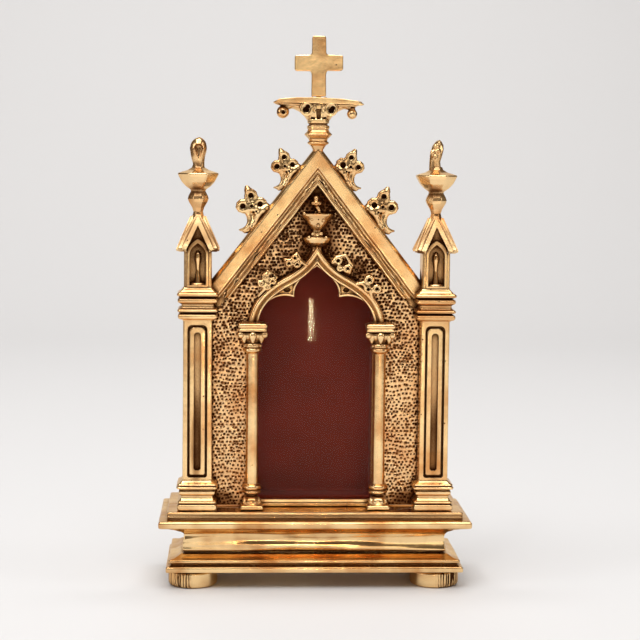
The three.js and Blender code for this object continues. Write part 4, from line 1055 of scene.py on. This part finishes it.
left_high = hood_leaf([(-6.6, 97.9, 1.0), (-8.3, 96.3, 1.0), (-5.9, 96.0, 1.0)],
                      [(-6.6, 97.9, 0.45), (-8.3, 96.3, 0.45), (-5.9, 96.0, 0.42)],
                      [(-9.6, 97.4, 0.4), (-7.6, 97.1, 0.6), (-6.0, 99.3, 0.4), (-5.2, 97.6, 0.5),
                       (-3.8, 96.2, 0.55), (-2.9, 95.8, 0.5)])
facade_parts += [crocket(-1, 9.6, 0.92), crocket(1, 9.6, 0.92, 0.5), crocket(-1, 24.6, 1.04),
                 crocket(1, 24.6, 1.04, 0.2), right_low, right_high, left_low, left_high]


# ---- Facade: inner finial --------------------------------------------------------------------
# Part of the same casting: two flat-rimmed cups one over the other rise from the point of the hood
# in half relief, with a bent stem and two small knobs on top.

inner = turned("inner_finial", soften([
    (3.6, 96.0), (2.6, 97.8), (1.7, 99.3), (1.35, 100.3), (1.5, 101.0), (2.6, 101.5), (3.5, 102.3),
    (4.0, 103.2), (4.1, 103.7), (3.7, 103.95), (2.2, 103.9), (1.6, 104.4), (1.15, 105.2), (1.2, 105.9),
    (1.9, 106.7), (2.7, 107.7), (3.6, 109.1), (4.6, 110.2), (4.8, 110.75), (4.3, 110.95), (2.6, 110.8),
    (0.8, 110.9), (0.7, 111.6)], 0.1), round_plan(28), 0, WALL_FRONT, 0.72)
bowl_knobs = balls("knobs", string([(0.7, -8.7, 110.8, 0.6), (0.4, -8.9, 112.0, 0.55),
                                    (-0.35, -8.9, 113.2, 0.6)], 5)
                   + [(x, -9.2, z, r, 1.3) for x, z, r in (
                       (-0.4, 113.9, 1.0), (-1.3, 113.9, 0.65), (0.6, 113.9, 0.65), (-0.4, 115.4, 0.85))]
                   + [(x, -9.9, z, r, 1.0) for x, z, r in (
                       (-3.9, 110.9, 0.55), (2.6, 103.9, 0.5), (-2.4, 104.0, 0.55), (1.8, 108.9, 0.6),
                       (-1.6, 109.3, 0.55), (0.3, 107.3, 0.6), (-1.3, 104.9, 0.55), (1.2, 105.0, 0.6),
                       (0.0, 104.6, 0.6))],
                   0.22, 2)
combine(inner, [bowl_knobs])
half_relief = slab("half", [(-7, 90), (7, 90), (7, 120), (-7, 120)], -14, WALL_FRONT + 0.6)
facade_parts.append(combine(inner, [half_relief], "INTERSECT"))


# ---- Facade: crowning knop and leaf bracket --------------------------------------------------
# Part of the same casting: an eight-sided knop on the gable's point carries a bracket of two leaf
# arms, drilled with eyes, with a small pendant under each tip and a flat shelf for the cross.

crown_y = -8.3
knop = turned("knop", soften([
    (1.3, 125.4), (1.3, 128.9), (1.5, 129.6), (2.2, 130.8), (3.05, 131.4), (3.05, 131.75),
    (2.55, 132.1), (2.75, 132.75), (3.9, 133.9), (3.95, 134.15), (3.2, 134.9), (2.95, 135.5),
    (3.2, 135.9), (3.2, 136.5), (2.6, 136.9), (2.65, 137.1), (3.1, 137.4), (3.1, 138.3), (2.6, 138.9)],
    0.14), flat_sided(4, 0.34, 1), 0, crown_y)
arms = []
for side in (-1, 1):
    arms += string([
        (side * 1.6, crown_y, 138.4, 1.6), (side * 2.4, crown_y, 140.6, 2.2),
        (side * 4.4, crown_y, 142.1, 1.9), (side * 7.4, crown_y, 142.9, 1.35),
        (side * 10.2, crown_y, 143.1, 1.05), (side * 12.4, crown_y, 143.3, 0.6)], 6, 1.55)
    arms += string([(side * 7.6, crown_y, 142.6, 1.1), (side * 9.6, crown_y, 141.9, 0.9),
                    (side * 10.2, crown_y - 0.2, 141.2, 0.8)], 4, 1.4)
    # Raised ring round each drilled eye.
    arms += [(side * 3.55 + 1.55 * math.cos(a), crown_y - 2.9, 141.5 + 1.75 * math.sin(a), 0.6, 1.0)
             for a in (math.tau * k / 14 for k in range(14))]
arms += string([(0, crown_y, 139.0, 1.9), (0, crown_y, 142.6, 2.3)], 6, 1.4)
bracket = balls("bracket", arms, 0.34, 3)
shelf = slab("shelf", [
    (-13.25, 143.35), (-12.9, 143.0), (-8, 143.15), (8, 142.85), (12.9, 142.6), (13.25, 143.0),
    (11.2, 143.95), (6.5, 144.5), (0, 144.8), (-6.5, 144.75), (-11.4, 144.35)],
    crown_y - 3.4, crown_y + 3.4, 0.45, 3)
lower_lip = slab("lip", [(-11.0, 142.6), (11.0, 142.2), (11.6, 142.9), (-11.6, 143.3)],
                 crown_y - 2.8, crown_y + 2.8, 0.3)
pendants = balls("pendants", [
    (-10.4, crown_y - 0.5, 140.5, 1.95, 1.0), (9.9, crown_y - 0.5, 140.1, 1.6, 1.0),
    (-10.3, crown_y - 0.3, 142.0, 0.9, 1.5), (9.9, crown_y - 0.3, 141.6, 0.9, 1.5)], 0.3, 2)
combine(bracket, [shelf, lower_lip, pendants, knop])
drill(bracket, [(-3.7, 141.2, 0.95), (-3.2, 142.1, 0.7), (3.6, 141.0, 0.85), (4.1, 141.7, 0.7)],
      crown_y - 3.2, 1.9)
drill(bracket, [(-10.3, 140.4, 0.6)], crown_y - 2.4, 1.2)
groove = slab("groove", [(-0.55, 138.4), (0.6, 138.4), (0.8, 142.4), (-0.85, 142.4)], crown_y - 8,
              crown_y - 1.6)
slots = [slab("slot", [(s * 1.0, 138.3), (s * 2.3, 138.5), (s * 2.2, 139.2), (s * 1.0, 139.0)],
              crown_y - 8, crown_y - 1.9) for s in (-1, 1)]
socket = slab("socket", [(-0.95, 141.2), (0.95, 141.2), (0.95, 147), (-0.95, 147)],
              crown_y - 0.95, crown_y + 0.95)
combine(bracket, [groove, *slots, socket], "DIFFERENCE")
solder = balls("solder", [(s * 1.9, crown_y - 2.2, 144.3, 0.75, 1.0) for s in (-1, 1)], 0.25, 2)
combine(bracket, [solder])
facade_parts.append(bracket)


# ---- Facade: one casting ---------------------------------------------------------------------
# The parts of the front are joined, as they came from one mould, and the window is cut through.

for part in [wall, *facade_parts]:
    part.data.materials.clear()
    for finish in both_finishes:
        part.data.materials.append(finish)
combine(wall, [hood])
opening = slab("opening", window_outline(), -30, 0)
combine(wall, [opening], "DIFFERENCE")
combine(wall, [ground])
combine(wall, [p for p in facade_parts if p is not hood])
facade = wall
facade_low, facade_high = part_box("facade")
facade.data.transform(Matrix.Translation((
    (facade_low[0] + facade_high[0]) / 2, facade_high[1] - WALL_BACK * MM,
    facade_low[2] - WALL_FOOT * MM)))
dress(facade, 38)
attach(facade, "root")
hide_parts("facade")


# ---- Cross -----------------------------------------------------------------------------------
# Cut from thick brass plate, filed flat in front with a narrow chamfered edge, and soldered by a small
# tenon into the shelf of the bracket. Its right side is a little narrower than its left.

cross_low, cross_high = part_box("cross")
top, arm = cross_high[2] / MM, cross_high[0] / MM
cross_front, cross_back = cross_low[1] / MM, cross_high[1] / MM
cross_outline = [
    (-2.15, 145.1), (2.15, 145.1), (2.05, 151.5), (2.45, 152.55), (arm - 0.5, 152.55), (arm, 152.9),
    (arm, top - 5.7), (arm - 0.3, top - 5.5), (2.6, top - 5.35), (2.1, top - 4.9), (2.0, top - 0.35),
    (1.75, top), (-1.75, top), (-2.05, top - 0.35), (-2.1, top - 4.9), (-2.6, top - 5.5),
    (-arm + 0.3, top - 5.6), (-arm, top - 5.9), (-arm, 152.8), (-arm + 0.4, 152.4), (-2.5, 152.4),
    (-2.1, 151.6)]
cross_outline = soften([*cross_outline, *cross_outline[:2]], 0.35, 2)[1:-1]
cross = slab("cut_cross", [(x * (0.985 if x > 0 else 1.0), z) for x, z in cross_outline],
             cross_front, cross_back, 0.5, 1)
tenon_half = 0.7
tenon = slab("tenon", [(-tenon_half, cross_low[2] / MM), (tenon_half, cross_low[2] / MM),
                       (tenon_half, 146), (-tenon_half, 146)],
             (cross_front + cross_back) / 2 - tenon_half, (cross_front + cross_back) / 2 + tenon_half)
combine(cross, [tenon])
dress(cross, 30)
cross.data.materials.clear()
cross.data.materials.append(polished_brass)
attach(cross, "root")
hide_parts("cross")


# ---- Case and back plate ---------------------------------------------------------------------
# A house-shaped box of folded sheet brass behind the window, with four corner posts, and a sheet
# brass plate that closes it. Both are satin finished and their edges are eased with a file.

sheet_brass = brass(
    "sheet brass", reach=1.2, Metal=(0.74, 0.48, 0.20, 1), Warm_metal=(0.66, 0.38, 0.16, 1),
    Patina=(0.05, 0.018, 0.006, 1), Hollow_start=0.45, Hollow_end=0.1, Pinholes=0.04, Polish=0.24,
    Wave=0.5, Grain=0.30)


def eased_copy(name, source, width, angle=30):
    """Copy of a CAD part with merged corners and filed edges."""
    mesh = bpy.data.objects[source].data.copy()
    shape = bmesh.new()
    shape.from_mesh(mesh)
    bmesh.ops.remove_doubles(shape, verts=shape.verts, dist=1e-6)
    bmesh.ops.dissolve_limit(shape, angle_limit=math.radians(1.0), verts=shape.verts, edges=shape.edges)
    bmesh.ops.recalc_face_normals(shape, faces=shape.faces)
    shape.to_mesh(mesh)
    shape.free()
    mesh.materials.clear()
    obj = bpy.data.objects.new(name, mesh)
    scene.collection.objects.link(obj)
    filed = obj.modifiers.new("filed", "BEVEL")
    filed.width, filed.segments, filed.limit_method = width * MM, 2, "ANGLE"
    filed.angle_limit = math.radians(angle)
    settle(obj)
    return dress(obj, 40)


for new_name, cad_name, width in (("folded_case", "case", 0.14), ("filed_back_plate", "back_plate", 0.2)):
    piece = eased_copy(new_name, cad_name, width)
    piece.data.materials.append(sheet_brass)
    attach(piece, "root")
    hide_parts(cad_name)


# ---- Screws ----------------------------------------------------------------------------------
# Four small domed brass screws with a slot, which hold the back plate to the posts of the case.

def screw_shape():
    """One screw at the origin, pointing along -Y, its seat at y = 0."""
    rings = []
    for radius, y in soften([(0.7, -4.3), (0.7, 0.0), (1.42, 0.0), (1.5, 0.15), (1.45, 0.5),
                             (1.1, 0.82), (0.5, 0.98), (0.12, 1.0)], 0.12, 2):
        rings.append([(radius * math.cos(a), y, radius * math.sin(a))
                      for a in (math.tau * k / 24 for k in range(24))])
    body = loft("screw", rings)
    return combine(body, [slab("slot", [(-2, -0.2), (2, -0.2), (2, 0.2), (-2, 0.2)], 0.5, 2)],
                   "DIFFERENCE")


def screw_tree():
    tree, given, out = new_group("plate screws", [
        ("Geometry", "Geometry", None), ("Screw", "Object", None), ("Turn", "Float", None),
        ("Seed", "Int", None), ("Finish", "Material", None),
    ], [("Geometry", "Geometry")], "GeometryNodeTree")
    model = node(tree, "GeometryNodeObjectInfo", Object=given.outputs["Screw"])
    turn = node(tree, "FunctionNodeRandomValue", {"data_type": "FLOAT"}, _2=0.0,
                _3=given.outputs["Turn"], Seed=given.outputs["Seed"])
    spin = node(tree, "ShaderNodeCombineXYZ", Y=turn.outputs[1])
    way = node(tree, "FunctionNodeEulerToRotation", Euler=spin.outputs[0])
    set_in = node(tree, "GeometryNodeInstanceOnPoints", Points=given.outputs["Geometry"],
                  Instance=model.outputs["Geometry"], Rotation=way.outputs[0])
    real = node(tree, "GeometryNodeRealizeInstances", Geometry=set_in.outputs[0])
    done = node(tree, "GeometryNodeSetMaterial", Geometry=real.outputs[0],
                Material=given.outputs["Finish"])
    tree.links.new(done.outputs[0], out.inputs[0])
    return tree


SCREW_NODES = ("screw_lower_left", "screw_lower_right", "screw_upper_left", "screw_upper_right")
screw_points = []
for screw_name in SCREW_NODES:
    low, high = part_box(screw_name)
    screw_points.append(((low[0] + high[0]) / 2 / MM, high[1] / MM - 1.0, (low[2] + high[2]) / 2 / MM))
screws = mesh_object("plate_screws", screw_points, [])
pattern = screw_shape()
driven = screws.modifiers.new("driven", "NODES")
driven.node_group = screw_tree()
sockets = {s.name: s.identifier for s in driven.node_group.interface.items_tree if s.in_out == "INPUT"}
for label, value in (("Screw", pattern), ("Turn", 3.1), ("Seed", 3), ("Finish", sheet_brass)):
    driven[sockets[label]] = value
settle(screws)
bpy.data.objects.remove(pattern)
dress(screws, 40)
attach(screws, "root")
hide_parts(*SCREW_NODES)


# ---- Glass -----------------------------------------------------------------------------------
# A flat pane of clear window glass, cut to the case's house shape and bedded behind the window.

pane = eased_copy("window_pane", "glass", 0.12)
clear_glass, tree, shader = new_material("clear glass")
shader.inputs["Base Color"].default_value = (0.97, 0.98, 0.97, 1)
shader.inputs["Metallic"].default_value = 0.0
shader.inputs["IOR"].default_value = 1.12
shader.inputs["Transmission Weight"].default_value = 1.0
place = tree.nodes.new("ShaderNodeTexCoord").outputs["Object"]
haze = node(tree, "ShaderNodeTexNoise", Vector=place, Scale=160.0, Detail=4.0)
film = remap(tree, haze.outputs["Fac"], 0.35, 0.8, To_Min=0.028, To_Max=0.045)
tree.links.new(film, shader.inputs["Roughness"])
drawn = node(tree, "ShaderNodeTexNoise", Vector=place, Scale=60.0, Detail=0.0)
relief = node(tree, "ShaderNodeBump", Strength=0.12, Distance=0.05 * MM, Height=drawn.outputs["Fac"])
tree.links.new(relief.outputs["Normal"], shader.inputs["Normal"])
pane.data.materials.append(clear_glass)
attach(pane, "root")
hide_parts("glass")


# ---- Lining ----------------------------------------------------------------------------------
# A card tray covered in dark red velvet, open to the window. The cloth is drawn tight over the
# card, with soft rounded corners and a slightly uneven face.

lining_low, lining_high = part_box("lining")
bed = [v / MM for v in (*lining_low, *lining_high)]


def house_ring(inset, y):
    """House-shaped ring inside the lining's box, with eased corners."""
    half = bed[3] - inset
    rise = math.tan(GABLE_PITCH)
    apex = bed[5] - inset / math.cos(GABLE_PITCH)
    corners = [(-half, bed[2] + inset), (half, bed[2] + inset), (half, apex - half * rise), (0.0, apex),
               (-half, apex - half * rise)]
    ring = []
    for i, corner in enumerate(corners):
        near, far = corners[i - 1], corners[(i + 1) % len(corners)]
        share_a, share_b = (min(0.9 / math.dist(corner, o), 0.4) for o in (near, far))
        a = [c + (o - c) * share_a for c, o in zip(corner, near)]
        b = [c + (o - c) * share_b for c, o in zip(corner, far)]
        for k in range(5):
            t = k / 4
            ring.append([(1 - t) ** 2 * p + 2 * t * (1 - t) * c + t * t * q
                         for p, c, q in zip(a, corner, b)])
        for k in range(1, 14):
            t = k / 14
            ring.append([p + (q - p) * t for p, q in zip(
                b, [c + (o - c) * min(0.9 / math.dist(c_pt, o_pt), 0.4) for c_pt, o_pt in [(far, corner)]
                    for c, o in zip(c_pt, o_pt)])])
    return [(x, y, z) for x, z in ring]


front, back = bed[1], bed[4]
tray = [house_ring(0.0, back), house_ring(0.0, front + 0.25), house_ring(0.12, front + 0.06),
        house_ring(0.45, front), house_ring(0.78, front + 0.06), house_ring(0.9, front + 0.3)]
tray += [house_ring(0.9, front + (back - front - 1.9) * k / 6 + 0.3) for k in range(1, 7)]
tray += [house_ring(1.05, back - 1.2), house_ring(1.5, back - 0.95), house_ring(2.3, back - 0.9)]
tray += [house_ring(2.3 + 1.45 * k, back - 0.9) for k in range(1, 9)]
uneven = []
for ring in tray:
    row = []
    for x, y, z in ring:
        if y > back - 1.0 and ring is not tray[0]:
            y -= 0.10 + 0.14 * noise.noise(Vector((x * 0.12, z * 0.10, 1.5)))
        row.append((x, y, z))
    uneven.append(row)
lining = loft("velvet_lining", uneven)
dress(lining, 60)
red_velvet, tree, shader = new_material("red velvet")
place = tree.nodes.new("ShaderNodeTexCoord").outputs["Object"]
brushed = node(tree, "ShaderNodeTexNoise", Vector=place, Scale=45.0, Detail=3.0)
pile = node(tree, "ShaderNodeTexNoise", Vector=place, Scale=5200.0, Detail=2.0)
lie = remap(tree, brushed.outputs["Fac"], 0.3, 0.7)
nap = node(tree, "ShaderNodeMix", {"data_type": "RGBA"}, _0=lie, _6=(0.18, 0.027, 0.015, 1),
           _7=(0.26, 0.032, 0.019, 1))
deep = remap(tree, pile.outputs["Fac"], 0.3, 0.75, To_Min=0.88, To_Max=1.06)
cloth = node(tree, "ShaderNodeVectorMath", {"operation": "SCALE"}, _0=nap.outputs[2], Scale=deep)
tree.links.new(cloth.outputs[0], shader.inputs["Base Color"])
fuzz = remap(tree, pile.outputs["Fac"], 0.0, 1.0, To_Min=0.8, To_Max=1.0)
tree.links.new(fuzz, shader.inputs["Roughness"])
relief = node(tree, "ShaderNodeBump", Strength=0.25, Distance=0.04 * MM, Height=pile.outputs["Fac"])
tree.links.new(relief.outputs["Normal"], shader.inputs["Normal"])
shader.inputs["Sheen Weight"].default_value = 0.06
shader.inputs["Sheen Roughness"].default_value = 0.4
shader.inputs["Specular IOR Level"].default_value = 0.15
lining.data.materials.append(red_velvet)
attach(lining, "root")
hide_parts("lining")
